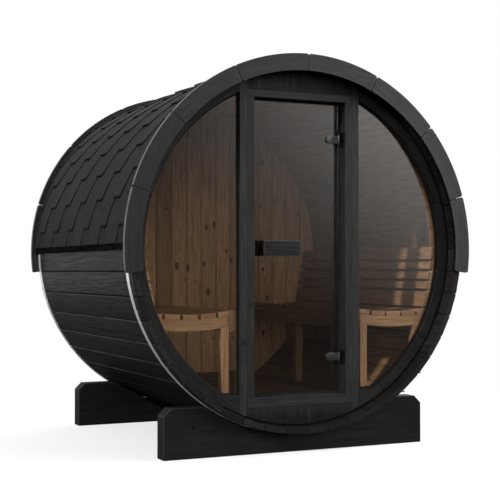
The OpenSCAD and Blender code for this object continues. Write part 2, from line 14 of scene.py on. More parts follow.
import bmesh
import bpy
import numpy as np
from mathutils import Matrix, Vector

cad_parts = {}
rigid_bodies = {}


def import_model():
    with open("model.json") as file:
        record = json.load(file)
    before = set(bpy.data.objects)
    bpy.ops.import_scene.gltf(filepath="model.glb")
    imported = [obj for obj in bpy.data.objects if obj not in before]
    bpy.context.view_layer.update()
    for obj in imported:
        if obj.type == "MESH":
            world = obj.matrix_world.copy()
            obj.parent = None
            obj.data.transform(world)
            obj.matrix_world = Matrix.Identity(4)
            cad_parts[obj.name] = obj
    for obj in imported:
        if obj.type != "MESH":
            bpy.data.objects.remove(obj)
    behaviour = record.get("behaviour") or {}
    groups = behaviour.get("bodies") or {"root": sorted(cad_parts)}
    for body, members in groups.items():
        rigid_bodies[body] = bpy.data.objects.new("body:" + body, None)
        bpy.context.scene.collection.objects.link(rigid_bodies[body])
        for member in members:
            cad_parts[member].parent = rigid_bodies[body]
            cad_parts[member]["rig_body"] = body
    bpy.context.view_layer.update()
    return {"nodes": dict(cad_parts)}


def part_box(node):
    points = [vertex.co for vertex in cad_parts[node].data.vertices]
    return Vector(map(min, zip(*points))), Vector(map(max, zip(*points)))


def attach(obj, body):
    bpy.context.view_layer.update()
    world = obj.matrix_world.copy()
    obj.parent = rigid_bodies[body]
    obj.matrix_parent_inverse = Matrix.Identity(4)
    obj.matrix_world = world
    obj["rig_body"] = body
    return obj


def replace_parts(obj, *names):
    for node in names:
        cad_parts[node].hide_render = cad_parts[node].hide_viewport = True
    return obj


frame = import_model()
MM = 0.001

# %% [markdown]
# ## Measures that the lesson shares
#
# Everything on a barrel is placed from its axis. The axis lies halfway between the lowest and the
# highest stave, so it is measured from the solids and not typed in. The planes of the front wall,
# of its panes and of the back wall are measured in the same way.

# %% Measure the axis and the main planes
AXIS_Z = (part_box("staves_bottom")[0].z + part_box("staves_top")[1].z) / 2
STAVE_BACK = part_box("staves_top")[1].y
WALL_FRONT, WALL_BACK = (corner.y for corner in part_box("post_left"))
PANE_Y = sum(corner.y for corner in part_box("window_left")) / 2
JAMB_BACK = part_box("jamb_right")[1].y
BACK_WALL_Y = sum(corner.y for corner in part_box("back_wall")) / 2
print("axis", round(AXIS_Z, 4), "wall", round(WALL_FRONT, 3), "to", round(WALL_BACK, 3))

# %% [markdown]
# ## Small helpers for materials
#
# A colour is easiest to judge as the hex value that a paint program shows, but shaders count in
# linear light. One function turns the first into the second. Another adds a node, sets it and
# links it, in shader trees and in geometry trees alike, so that a tree reads as a list. The third
# starts a material with nothing in it.


# %% Colour and node helpers
def linear(hex_code):
    """The linear colour of an sRGB hex value."""
    shares = [int(hex_code[i : i + 2], 16) / 255 for i in (1, 3, 5)]
    curve = [s / 12.92 if s <= 0.04045 else ((s + 0.055) / 1.055) ** 2.4 for s in shares]
    return (*curve, 1.0)


def add(tree, kind, links=None, **settings):
    """One node with its settings; links gives each input a socket, a node or a constant."""
    made = tree.nodes.new(kind)
    for name, value in settings.items():
        setattr(made, name, value)
    for socket, source in (links or {}).items():
        if isinstance(source, bpy.types.Node):
            source = source.outputs[0]
        if isinstance(source, bpy.types.NodeSocket):
            tree.links.new(source, made.inputs[socket])
        else:
            made.inputs[socket].default_value = source
    return made


def empty_material(name):
    """A new material with an empty node tree."""
    made = bpy.data.materials.new(name)
    made.use_nodes = True
    made.node_tree.nodes.clear()
    return made, made.node_tree


print("mid grey is", round(linear("#808080")[0], 3), "in linear light")

# %% [markdown]
# ## The figure of sawn spruce
#
# All the timber here is sawn spruce, stained black outside and left warm inside. A flat-sawn board
# shows growth rings as long arches, fine fibres along its length, and knots that push the rings
# aside. An image would repeat from board to board. So one node group draws the figure in each
# board's own coordinates, which later cells store on the mesh as an attribute called grain: x runs
# along the board. No two boards then look the same, and a short arch segment has its grain along
# its own chord. Real rings are 2 to 4 mm apart, and real fibres are finer than a pixel. Here rings
# are drawn 8 mm apart and fibres 7 mm wide, coarse enough to show.

# %% Wood figure as one node group
tree = wood_figure = bpy.data.node_groups.new("wood_figure", "ShaderNodeTree")
WOOD_INPUTS = (
    "Ring spacing",
    "Knots per metre",
    "Knot radius",
    "Darkest board",
    "Palest board",
    "Blotch",
)
for label in WOOD_INPUTS:
    wood_figure.interface.new_socket(label, in_out="INPUT", socket_type="NodeSocketFloat")
for label in ("Figure", "Knot", "Height", "Shade", "Wear and highlight", "Seam"):
    wood_figure.interface.new_socket(label, in_out="OUTPUT", socket_type="NodeSocketFloat")

given = add(tree, "NodeGroupInput").outputs
grain = add(tree, "ShaderNodeAttribute", attribute_name="grain").outputs["Vector"]
board, wear_and_highlight, seam = [
    add(tree, "ShaderNodeAttribute", attribute_name=label).outputs["Fac"]
    for label in ("board", "wear_and_highlight", "seam")
]
print("wood figure takes", WOOD_INPUTS)

# %% Four noises along the grain
# For each: how tight it is along, across and through the board, per metre, and its detail. The
# heart of the log wanders fast and slowly, fibres are 250 by 7 mm, and blotches 110 by 18 mm.
NOISES = {
    "wander": ((1.3, 8.0, 8.0), 2.0),
    "slow": ((0.9, 0.4, 0.4), 1.0),
    "fibre": ((4.0, 140.0, 140.0), 3.0),
    "blotch": ((9.0, 55.0, 55.0), 3.0),
}
noise = {}
for label, (tightness, detail) in NOISES.items():
    place = add(tree, "ShaderNodeVectorMath", {0: grain, 1: tightness}, operation="MULTIPLY")
    noise[label] = add(tree, "ShaderNodeTexNoise", {"Vector": place, "Scale": 1.0, "Detail": detail})
print("noises:", list(noise))

# %% Knots, and how far they push the rings
KNOT_OVAL = (0.6, 1.0, 1.0)
KNOT_FREE = 0.35
SMALLEST_KNOT = 0.3 * MM
KNOT_CORE = 0.6
KNOT_REACH = 2.2
per_metre = given["Knots per metre"]
place = add(tree, "ShaderNodeVectorMath", {0: grain, 1: KNOT_OVAL}, operation="MULTIPLY")
cells = add(
    tree, "ShaderNodeTexVoronoi", {"Vector": place, "Scale": per_metre}, voronoi_dimensions="2D"
).outputs
from_knot = add(tree, "ShaderNodeMath", {0: cells["Distance"], 1: per_metre}, operation="DIVIDE")
chance = add(tree, "ShaderNodeSeparateColor", {0: cells["Color"]})
radius = add(
    tree,
    "ShaderNodeMapRange",
    {0: chance, 1: KNOT_FREE, 2: 1.0, 3: SMALLEST_KNOT, 4: given["Knot radius"]},
)
core = add(tree, "ShaderNodeMath", {0: radius, 1: KNOT_CORE}, operation="MULTIPLY")
knot = add(
    tree,
    "ShaderNodeMapRange",
    {0: from_knot, 1: core, 2: radius, 3: 1.0, 4: 0.0},
    interpolation_type="SMOOTHSTEP",
)
reach = add(tree, "ShaderNodeMath", {0: radius, 1: KNOT_REACH}, operation="MULTIPLY")
near = add(tree, "ShaderNodeMath", {0: from_knot, 1: reach}, operation="DIVIDE")
near_square = add(tree, "ShaderNodeMath", {0: near, 1: near}, operation="MULTIPLY")
fall = add(tree, "ShaderNodeMath", {0: near_square, 1: -1.0}, operation="MULTIPLY")
halo = add(tree, "ShaderNodeMath", {0: fall}, operation="EXPONENT")
push = add(tree, "ShaderNodeMath", {0: halo, 1: radius}, operation="MULTIPLY")
print("knots push the rings aside to", KNOT_REACH, "times their radius")

# %% Growth rings round a heart that wanders along the board
WANDER = 14 * MM
HEART_DRIFT = 90 * MM
RING_PUSH = 0.9
LATE_WOOD = 2.4
along, over, through = add(tree, "ShaderNodeSeparateXYZ", {0: grain}).outputs
across = add(tree, "ShaderNodeMath", {0: noise["wander"], 1: WANDER, 2: over}, operation="MULTIPLY_ADD")
deep = add(
    tree, "ShaderNodeMath", {0: noise["slow"], 1: HEART_DRIFT, 2: through}, operation="MULTIPLY_ADD"
)
from_heart = add(tree, "ShaderNodeCombineXYZ", {0: across, 1: deep})
heart_r = add(tree, "ShaderNodeVectorMath", {0: from_heart}, operation="LENGTH")
bent_r = add(
    tree,
    "ShaderNodeMath",
    {0: push, 1: RING_PUSH, 2: heart_r.outputs["Value"]},
    operation="MULTIPLY_ADD",
)
rings = add(tree, "ShaderNodeMath", {0: bent_r, 1: given["Ring spacing"]}, operation="DIVIDE")
ring_part = add(tree, "ShaderNodeMath", {0: rings}, operation="FRACT")
late_wood = add(tree, "ShaderNodeMath", {0: ring_part, 1: LATE_WOOD}, operation="POWER")
print("the heart drifts by up to", HEART_DRIFT, "m")

# %% Fibres, blotches, and what the group gives out
RING_TONE = 0.4
RING_FURROW = 0.45
BLOTCH_DENT = 2.4
KNOT_HOLLOW = -0.35
fibre, blotch = noise["fibre"], noise["blotch"]
streak = add(tree, "ShaderNodeMapRange", {0: fibre, 1: 0.3, 2: 0.7, 3: -0.1, 4: 0.7}, clamp=True)
figure = add(
    tree,
    "ShaderNodeMath",
    {0: late_wood, 1: RING_TONE, 2: streak},
    operation="MULTIPLY_ADD",
    use_clamp=True,
)
dent = add(tree, "ShaderNodeMath", {0: blotch, 1: given["Blotch"]}, operation="MULTIPLY")
height = fibre
for source, weight in ((late_wood, RING_FURROW), (dent, BLOTCH_DENT), (knot, KNOT_HOLLOW)):
    height = add(tree, "ShaderNodeMath", {0: source, 1: weight, 2: height}, operation="MULTIPLY_ADD")
swing = add(tree, "ShaderNodeMapRange", {0: blotch, 1: 0.28, 2: 0.72, 3: -1.0, 4: 1.0})
soak = add(tree, "ShaderNodeMath", {0: swing, 1: given["Blotch"], 2: 1.0}, operation="MULTIPLY_ADD")
board_tone = add(
    tree, "ShaderNodeMapRange", {0: board, 3: given["Darkest board"], 4: given["Palest board"]}
)
shade = add(tree, "ShaderNodeMath", {0: soak, 1: board_tone}, operation="MULTIPLY")
add(tree, "NodeGroupOutput", {0: figure, 1: knot, 2: height, 3: shade, 4: wear_and_highlight, 5: seam})
print("wood figure:", len(wood_figure.nodes), "nodes")

# %% [markdown]
# ## Timber finishes
#
# The stain outside is a thin black wash: the figure shows through it, knots are darker, and the
# arrises wear to grey. Inside, the spruce is bare and has gone golden brown in the heat. Staves and
# walls carry both finishes, one on each face. Painting faces one by one would need a material slot
# for each side. Here one material changes from stain to bare wood by place: inside a largest radius
# from the barrel's axis, and between two planes across it. The barrel has 48 staves, and inside it
# each joint is a thin dark line. The line is drawn 12 mm wide and soft, so that it shows.


# %% Where stain ends and bare wood starts
def inside_zone(tree, zone):
    """1 within zone and else 0, and how far a point lies to the right of the axis and above it.

    zone = (largest radius, lowest y, highest y).
    """
    place = add(tree, "ShaderNodeTexCoord").outputs["Object"]
    x, y, z = add(tree, "ShaderNodeSeparateXYZ", {0: place}).outputs
    high = add(tree, "ShaderNodeMath", {0: z, 1: AXIS_Z}, operation="SUBTRACT")
    flat = add(tree, "ShaderNodeCombineXYZ", {0: x, 1: high})
    out = add(tree, "ShaderNodeVectorMath", {0: flat}, operation="LENGTH").outputs["Value"]
    within = add(tree, "ShaderNodeMath", {0: out, 1: zone[0]}, operation="LESS_THAN")
    behind = add(tree, "ShaderNodeMath", {0: y, 1: zone[1]}, operation="GREATER_THAN")
    before = add(tree, "ShaderNodeMath", {0: y, 1: zone[2]}, operation="LESS_THAN")
    between = add(tree, "ShaderNodeMath", {0: behind, 1: before}, operation="MULTIPLY")
    inside = add(tree, "ShaderNodeMath", {0: between, 1: within}, operation="MULTIPLY")
    return inside, x, high


STAVE_STEP = math.radians(360 / 48)
JOINT_HALF = 6 * MM
JOINT_SHADE = 0.8
print("one stave turns by", round(math.degrees(STAVE_STEP), 2), "degrees")

# %% The timber material
RING_SPACING = 8 * MM
# Arrises are worn pale. The same lightening is a painted highlight on the outer face of the fascia.
WEAR_AND_HIGHLIGHT = 0.5
FIBRE_RELIEF = 0.9 * MM


def timber(
    name,
    finish,
    inner_finish=None,
    zone=None,
    gloss=(0.34, 0.54),
    sheen=0.26,
    boards=(0.8, 1.2),
    blotch=0.55,
    knots=(4.0, 14 * MM),
    joint_step=None,
):
    """Sawn spruce in the colours of finish, or of inner_finish where zone says so.

    boards = (darkest, palest) board, knots = (how many a metre, largest radius). joint_step is the
    turn from one inner joint to the next on a ring of staves.
    """
    made, tree = empty_material(name)
    sizes = dict(zip(WOOD_INPUTS, (RING_SPACING, *knots, *boards, blotch)))
    wood = add(tree, "ShaderNodeGroup", sizes, node_tree=wood_figure).outputs
    colours = [linear(code) for code in finish]
    seam = wood["Seam"]
    if inner_finish:
        inside, x, high = inside_zone(tree, zone)
        inner_colours = [linear(code) for code in inner_finish]
        colours = [
            add(tree, "ShaderNodeMix", {0: inside, 6: outer, 7: inner}, data_type="RGBA").outputs[2]
            for outer, inner in zip(colours, inner_colours)
        ]
    if joint_step:
        turn = add(tree, "ShaderNodeMath", {0: x, 1: high}, operation="ARCTAN2")
        aside = add(tree, "ShaderNodeMath", {0: turn, 1: joint_step / 2}, operation="PINGPONG")
        dim = add(
            tree, "ShaderNodeMapRange", {0: aside, 2: JOINT_HALF / zone[0], 3: JOINT_SHADE, 4: 0.0}
        )
        joint = add(tree, "ShaderNodeMath", {0: dim, 1: inside}, operation="MULTIPLY")
        seam = add(tree, "ShaderNodeMath", {0: seam, 1: joint}, operation="MAXIMUM")
    pale, dark, knot_colour, wear_and_highlight_colour = colours
    sawn = add(tree, "ShaderNodeMix", {0: wood["Figure"], 6: pale, 7: dark}, data_type="RGBA").outputs[2]
    tone = add(tree, "ShaderNodeVectorMath", {0: sawn, "Scale": wood["Shade"]}, operation="SCALE")
    lightened = add(tree, "ShaderNodeMath", {0: wood["Wear and highlight"], 1: WEAR_AND_HIGHLIGHT}, operation="MULTIPLY")
    for amount, colour in ((wood["Knot"], knot_colour), (lightened, wear_and_highlight_colour), (seam, knot_colour)):
        tone = add(tree, "ShaderNodeMix", {0: amount, 6: tone, 7: colour}, data_type="RGBA").outputs[2]
    rough = add(tree, "ShaderNodeMapRange", {0: wood["Figure"], 3: gloss[0], 4: gloss[1]})
    bump = add(
        tree, "ShaderNodeBump", {"Height": wood["Height"], "Strength": 0.55, "Distance": FIBRE_RELIEF}
    )
    shader = add(
        tree,
        "ShaderNodeBsdfPrincipled",
        {
            "Base Color": tone,
            "Roughness": rough,
            "Normal": bump,
            "IOR": 1.5,
            "Specular IOR Level": sheen,
        },
    )
    add(tree, "ShaderNodeOutputMaterial", {0: shader})
    return made


print("timber is ready to be stained")

# %% Finishes of one colour
# Each finish is early wood, late wood, knots and worn arrises. On the fascia's outer face the last
# colour is a painted highlight.
BLACK_STAIN = ("#252525", "#070707", "#030303", "#5a5a5a")
FASCIA_STAIN = ("#1e1e1e", "#070707", "#030303", "#5a5a5a")
# The eave battens are drawn near black and without sheen.
BATTEN_STAIN = ("#131313", "#080808", "#040404", "#101010")
# The cradles' copy of the black stain is darker, as painted shade low down by the floor.
CRADLE_SHADED_STAIN = ("#1b1b1b", "#101010", "#060606", "#3c3c3c")
BARE_SPRUCE = ("#a48566", "#6c523a", "#473023", "#a6896b")
# The floor boards get a darker copy of bare spruce, as painted shade on the dim floor.
FLOOR_SHADED_SPRUCE = ("#775f4b", "#4a392c", "#3a2a20", "#806a56")
fascia_wood = timber("fascia_spruce", FASCIA_STAIN, gloss=(0.3, 0.48), sheen=0.33)
batten_wood = timber("near_black_spruce", BATTEN_STAIN, gloss=(0.7, 0.9), sheen=0.0)
# Darker and duller than the other stain: painted shade on the cradles.
shaded_cradle_wood = timber("shaded_cradle_spruce", CRADLE_SHADED_STAIN, gloss=(0.55, 0.65), sheen=0.06, blotch=0.2)
handle_wood = timber("handle_spruce", BLACK_STAIN, gloss=(0.5, 0.7), sheen=0.12)
bare_wood = timber("bare_spruce", BARE_SPRUCE, gloss=(0.5, 0.68), sheen=0.3, blotch=0.1)
# Darker than the benches' spruce: painted shade on the floor.
shaded_floor_wood = timber("shaded_floor_spruce", FLOOR_SHADED_SPRUCE, gloss=(0.55, 0.75), sheen=0.3, blotch=0.2)
print("one colour:", [m.name for m in bpy.data.materials if m.name.endswith("spruce")])

# %% Finishes that are stained on one face and bare on the other
STAVE_STAIN = ("#252423", "#070707", "#030303", "#2c2c2b")
# The glazed wall's stain and its bare frame wood are darker copies, as painted shade in the recess.
RECESS_SHADED_STAIN = ("#1f1f1f", "#0e0e0e", "#030303", "#3c3c3c")
STAVE_SPRUCE = ("#9e8162", "#8a6e52", "#4a3325", "#ad9071")
FRAME_SHADED_SPRUCE = ("#452b17", "#29180d", "#1d1108", "#3b2614")
# The back wall's spruce is paler than the benches', as painted light for the dim back of the room.
BACK_WALL_LIT_SPRUCE = ("#bd9c78", "#8b6c52", "#664c37", "#b69775")
FAR = 9.0
# The staves are bare on their inner face, from inside the front wall to inside the back wall.
STAVE_ZONE = (1000 * MM, WALL_FRONT + 20 * MM, STAVE_BACK - 40 * MM)
POST_ZONE = (FAR, WALL_BACK - 4 * MM, FAR)
JAMB_ZONE = (FAR, JAMB_BACK - 0.3 * MM, FAR)
stave_wood = timber(
    "stave_spruce",
    STAVE_STAIN,
    STAVE_SPRUCE,
    STAVE_ZONE,
    gloss=(0.4, 0.55),
    sheen=0.07,
    boards=(0.65, 1.35),
    blotch=0.3,
    joint_step=STAVE_STEP,
)
# Darker copies of both finishes: painted shade in the recess of the front wall.
glazed_wood = timber(
    "glazed_wall_spruce",
    RECESS_SHADED_STAIN,
    FRAME_SHADED_SPRUCE,
    (FAR, PANE_Y, FAR),
    gloss=(0.45, 0.65),
    sheen=0.12,
)
post_wood = timber(
    "post_spruce", BLACK_STAIN, BARE_SPRUCE, POST_ZONE, sheen=0.23, knots=(6.0, 17 * MM)
)
jamb_wood = timber("door_frame_spruce", BLACK_STAIN, BARE_SPRUCE, JAMB_ZONE, sheen=0.22)
# Its paler spruce and paler board range are painted light.
back_wood = timber(
    "back_wall_spruce",
    STAVE_STAIN,
    BACK_WALL_LIT_SPRUCE,
    (FAR, -FAR, BACK_WALL_Y),
    sheen=0.3,
    boards=(0.74, 1.3),
    blotch=0.2,
    knots=(7.0, 21 * MM),
)
print("two colours:", [m.name for m in (stave_wood, glazed_wood, post_wood, jamb_wood, back_wood)])

# %% [markdown]
# ## Eased boards
#
# A planed board never has knife edges: the joiner takes them off by a millimetre or two, and that
# thin facet is what catches the light. A Bevel modifier on the solid would work, but the solid may
# not change and its triangles are loose. So each timber node is copied, its doubles are merged, its
# flat faces are joined, and its sharp edges are bevelled. Each board then gets its own coordinates:
# the longest and the thinnest direction of its points give the grain and the face.


# %% Find the boards and give each its own grain
def island_list(bm):
    """The boards of a mesh: lists of vertices that hang together."""
    bm.verts.index_update()
    seen = set()
    found = []
    for start in bm.verts:
        if start.index in seen:
            continue
        seen.add(start.index)
        board_verts = [start]
        for vert in board_verts:
            for edge in vert.link_edges:
                other = edge.other_vert(vert)
                if other.index not in seen:
                    seen.add(other.index)
                    board_verts.append(other)
        found.append(board_verts)
    return found


def store_grain(bm, name, upright):
    """Gives every board its own grain coordinates and its own shade."""
    grain_layer = bm.verts.layers.float_vector.new("grain")
    board_layer = bm.verts.layers.float.new("board")
    boards = island_list(bm)
    for verts in boards:
        points = np.array([v.co for v in verts])
        middle = (points.min(0) + points.max(0)) / 2
        directions = np.linalg.eigh(np.cov((points - middle).T))[1].T
        thin, long = directions[0], directions[2]
        if upright:
            thin, long = np.array((0.0, 1.0, 0.0)), np.array((0.0, 0.0, 1.0))
        thin = thin * math.copysign(1, thin[np.argmax(abs(thin))])
        long = long * math.copysign(1, long[np.argmax(abs(long))])
        axes = np.array((long, np.cross(thin, long), thin))
        # Each board is sawn from another place: up to 40 m along the log, a few cm off its heart.
        draw = random.Random(name + "".join(f" {round(c, 2):.2f}" for c in middle))
        shift = np.array((draw.uniform(0, 40), draw.uniform(-0.03, 0.03), draw.uniform(-0.02, 0.02)))
        shade = draw.random()
        for vert, place in zip(verts, (points - middle) @ axes.T + shift):
            vert[grain_layer] = place
            vert[board_layer] = shade
    return len(boards)


print("grain will be measured board by board")

# %% Open the joints of an arch, paint a highlight on its outer face, and mark dark faces
OUTER_HIGHLIGHT = 0.7


def open_joints(bm, gap):
    """Draws the ends of each arch segment back, so that its joints show as dark lines."""
    for verts in island_list(bm):
        turns = [math.atan2(v.co.x, v.co.z - AXIS_Z) for v in verts]
        middle = (min(turns) + max(turns)) / 2
        shrink = 1 - gap / (max(turns) - min(turns))
        for vert, turn in zip(verts, turns):
            r = math.hypot(vert.co.x, vert.co.z - AXIS_Z)
            drawn = middle + (turn - middle) * shrink
            vert.co = (r * math.sin(drawn), vert.co.y, AXIS_Z + r * math.cos(drawn))


def mark_ends(bm, wear_and_highlight_layer, seam_layer):
    """Faces at the left and the right end are drawn dark and not worn pale."""
    for face in bm.faces:
        if abs(face.normal.x) > 0.5:
            face[wear_and_highlight_layer] = 0.0
            face[seam_layer] = 1.0


def mark_arch(bm, wear_and_highlight_layer, seam_layer):
    """The outer face of an arch gets a painted highlight, and the ends and inner faces of its segments
    are dark.
    """
    for face in bm.faces:
        middle = face.calc_center_median()
        outward = face.normal.dot(Vector((middle.x, 0, middle.z - AXIS_Z)).normalized())
        # The outer face is lightened in the worn-edge colour, as a painted highlight.
        if outward > 0.9:
            face[wear_and_highlight_layer] = OUTER_HIGHLIGHT
        elif outward < 0.5 and abs(face.normal.y) < 0.5:
            face[seam_layer] = 1.0


print("outer faces of the arches are rubbed by", OUTER_HIGHLIGHT)

# %% Copy a solid and ease its edges
SAME_POINT = 0.02 * MM
FLAT = math.radians(0.3)
SHARP = math.radians(28)
CREASE = math.radians(20)


def eased(
    node, ease, finish, upright=False, segments=2, seams=False, joint_gap=0.0, dark_ends=False
):
    """A dressed copy of a solid that rides where the solid rides and stands for it.

    Its edges are rubbed pale, or with seams they are dark joints. joint_gap is for arches, and
    dark_ends for a block with end grain at its left and right.
    """
    bm = bmesh.new()
    bm.from_mesh(frame["nodes"][node].data)
    bmesh.ops.remove_doubles(bm, verts=bm.verts, dist=SAME_POINT)
    bmesh.ops.dissolve_limit(
        bm, angle_limit=FLAT, verts=bm.verts, edges=bm.edges, use_dissolve_boundaries=False
    )
    wear_and_highlight_layer = bm.faces.layers.float.new("wear_and_highlight")
    seam_layer = bm.faces.layers.float.new("seam")
    if joint_gap:
        open_joints(bm, joint_gap)
    sharp = [e for e in bm.edges if len(e.link_faces) == 2 and e.calc_face_angle() > SHARP]
    rounded = bmesh.ops.bevel(
        bm, geom=sharp, offset=ease, segments=segments, profile=0.5, affect="EDGES", clamp_overlap=True
    )
    for face in rounded["faces"]:
        face[seam_layer if seams else wear_and_highlight_layer] = 1.0
    if dark_ends:
        mark_ends(bm, wear_and_highlight_layer, seam_layer)
    if joint_gap:
        mark_arch(bm, wear_and_highlight_layer, seam_layer)
    boards = store_grain(bm, node, upright)
    mesh = bpy.data.meshes.new(node + "_eased")
    bm.to_mesh(mesh)
    bm.free()
    mesh.materials.append(finish)
    mesh.shade_smooth()
    mesh.set_sharp_from_angle(angle=CREASE)
    piece = bpy.data.objects.new(node + "_eased", mesh)
    bpy.context.scene.collection.objects.link(piece)
    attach(piece, frame["nodes"][node]["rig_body"])
    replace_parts(piece, node)
    return boards


print("eased boards will be cut from", len(frame["nodes"]), "nodes")

# %% [markdown]
# ## Staves, cradles and fascia
#
# The staves have wide bevels already, so they only lose their last sharpness. Cradles are heavy
# planks that are handled roughly, so they get 3 mm. The fascia segments are rounded in the solid,
# so their edges lose half a millimetre. Their ends are drawn back by 4 mm in all, so that each
# joint shows as a dark line.

# %% The barrel and what carries it
JOINT_TURN = 4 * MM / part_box("front_fascia")[1].x
cut = {}
for quarter in ("staves_top", "staves_left", "staves_right", "staves_bottom"):
    cut[quarter] = eased(quarter, 1.8 * MM, stave_wood, seams=True)
for cradle in ("cradle_front", "cradle_back"):
    cut[cradle] = eased(cradle, 3 * MM, shaded_cradle_wood)
for arch in ("front_fascia", "back_fascia"):
    cut[arch] = eased(arch, 0.5 * MM, fascia_wood, joint_gap=JOINT_TURN)
for batten in ("roof_edge_left", "roof_edge_right"):
    cut[batten] = eased(batten, 2 * MM, batten_wood)
print("barrel boards:", cut)

# %% [markdown]
# ## Front wall, door frame and back wall
#
# The frames of the windows are stained in front of the glass and bare behind it, which shows as a
# brown crescent through the panes. Frames and panels get darker copies of both finishes, as painted
# shade in the recess. The two panels over and under the door are cut from glued boards with upright
# grain, so their direction is given and not measured.

# %% Walls
cut = {}
WALL_WOODS = {"window_frame_": glazed_wood, "post_": post_wood, "jamb_": jamb_wood}
for side in ("left", "right"):
    for part, finish in WALL_WOODS.items():
        cut[part + side] = eased(part + side, 1.5 * MM, finish, seams=True)
for panel in ("upper_panel", "lower_panel"):
    cut[panel] = eased(panel, 1.5 * MM, glazed_wood, upright=True, seams=True)
for rail in ("door_head", "door_sill"):
    cut[rail] = eased(rail, 1.5 * MM, jamb_wood, seams=True)
cut["back_wall"] = eased("back_wall", 2.5 * MM, back_wood, seams=True)
print("wall boards:", cut)

# %% [markdown]
# ## Benches, backrests and floor
#
# Everything that skin touches is sanded rounder than the rest, so the slats get 3 mm and the door
# handles 4 mm.

# %% The room's fittings
cut = {}
for side in ("left", "right"):
    for part, ease in (("slats", 3), ("bearers", 1.5), ("apron", 3), ("legs", 2)):
        name = f"bench_{side}_{part}"
        cut[name] = eased(name, ease * MM, bare_wood)
    cut["backrest_" + side] = eased("backrest_" + side, 3 * MM, bare_wood)
    blocks = f"backrest_{side}_blocks"
    cut[blocks] = eased(blocks, 1 * MM, bare_wood)
cut["floor_boards"] = eased("floor_boards", 2 * MM, shaded_floor_wood, seams=True)
cut["floor_joists"] = eased("floor_joists", 1.5 * MM, bare_wood)
for handle in ("door_handle", "door_handle_inside"):
    cut[handle] = eased(handle, 4 * MM, handle_wood, segments=3, dark_ends=True)
print("fittings:", cut)

# %% [markdown]
# ## Steel straps and hinges
#
# The straps are cold-rolled stainless band: bright, with faint lines along the roll. The hinges are
# satin. Brush lines are under half a millimetre wide on the real band, so they are drawn 2 mm wide
# to show. Lines that follow a strap only change across it, so the pattern is stretched round the
# barrel and tight along its axis. Smudges are about 110 mm wide.


# %% Steel finishes
def rolled_steel(name, bright, dull, gloss, line_scale, metallic=1.0):
    """Metal with fine lines; line_scale is the pattern's tightness along x, y and z, per metre."""
    made, tree = empty_material(name)
    place = add(tree, "ShaderNodeTexCoord").outputs["Object"]
    lines = add(tree, "ShaderNodeVectorMath", {0: place, 1: line_scale}, operation="MULTIPLY")
    brushed = add(tree, "ShaderNodeTexNoise", {"Vector": lines, "Scale": 1.0, "Detail": 3.0})
    smudge = add(tree, "ShaderNodeTexNoise", {"Vector": place, "Scale": 9.0, "Detail": 2.0})
    colour = add(
        tree, "ShaderNodeMix", {0: brushed, 6: linear(bright), 7: linear(dull)}, data_type="RGBA"
    ).outputs[2]
    rough = add(tree, "ShaderNodeMapRange", {0: smudge, 1: 0.3, 2: 0.7, 3: gloss[0], 4: gloss[1]})
    bump = add(tree, "ShaderNodeBump", {"Height": brushed, "Strength": 0.25, "Distance": 0.2 * MM})
    shader = add(
        tree,
        "ShaderNodeBsdfPrincipled",
        {"Base Color": colour, "Metallic": metallic, "Roughness": rough, "Normal": bump},
    )
    add(tree, "ShaderNodeOutputMaterial", {0: shader})
    return made


strap_steel = rolled_steel("rolled_stainless", "#eceef0", "#d6d9dc", (0.22, 0.32), (4, 500, 4), 0.5)
hinge_steel = rolled_steel("satin_graphite_steel", "#626365", "#48494b", (0.28, 0.4), (60, 60, 500))
plate_steel = rolled_steel("blackened_steel", "#2a2a2b", "#1a1a1b", (0.4, 0.55), (60, 60, 500))
for strap in ("front_strap", "back_strap"):
    frame["nodes"][strap].data.materials.clear()
    frame["nodes"][strap].data.materials.append(strap_steel)
eased("hinge_plates", 0.8 * MM, plate_steel)
eased("hinge_clamps", 2 * MM, hinge_steel, segments=3)
print("steel finishes:", strap_steel.name, hinge_steel.name, plate_steel.name)

# %% [markdown]
# ## Smoked glass
#
# Toughened glass with a light bronze tint, darker and greyer in the door. Light has to pass through
# it into the room, and a refracting shader would only let it in as slow, noisy caustics. So camera
# and mirror rays meet real glass, and shadow and diffuse rays meet a tinted transparent one. Wiped
# haze comes in patches about 300 mm wide.


# %% Bronze-tinted panes, and a darker door leaf
def tinted_glass(name, tint):
    """Clear to cameras and mirrors with faint wiped haze, and a plain tint to all other light."""
    made, tree = empty_material(name)
    place = add(tree, "ShaderNodeTexCoord").outputs["Object"]
    wiped = add(tree, "ShaderNodeTexNoise", {"Vector": place, "Scale": 3.0, "Detail": 2.0})
    haze = add(tree, "ShaderNodeMapRange", {0: wiped, 1: 0.35, 2: 0.7, 3: 0.0, 4: 0.03})
    clear = add(
        tree,
        "ShaderNodeBsdfPrincipled",
        {"Base Color": linear(tint), "Transmission Weight": 1.0, "Roughness": haze, "IOR": 1.52},
    )
    passing = add(tree, "ShaderNodeBsdfTransparent", {0: linear("#f6f3ef")})
    ray = add(tree, "ShaderNodeLightPath").outputs
    unseen = add(
        tree, "ShaderNodeMath", {0: ray["Is Shadow Ray"], 1: ray["Is Diffuse Ray"]}, operation="MAXIMUM"
    )
    pane = add(tree, "ShaderNodeMixShader", {0: unseen, 1: clear, 2: passing})
    add(tree, "ShaderNodeOutputMaterial", {0: pane})
    return made


pane_glass = tinted_glass("bronze_tinted_glass", "#e4dfd8")
leaf_glass = tinted_glass("grey_tinted_glass", "#c3bfba")
GLAZING = {"window_left": pane_glass, "window_right": pane_glass, "door_glass": leaf_glass}
for node, finish in GLAZING.items():
    frame["nodes"][node].data.materials.clear()
    frame["nodes"][node].data.materials.append(finish)
print("glass on", list(GLAZING))

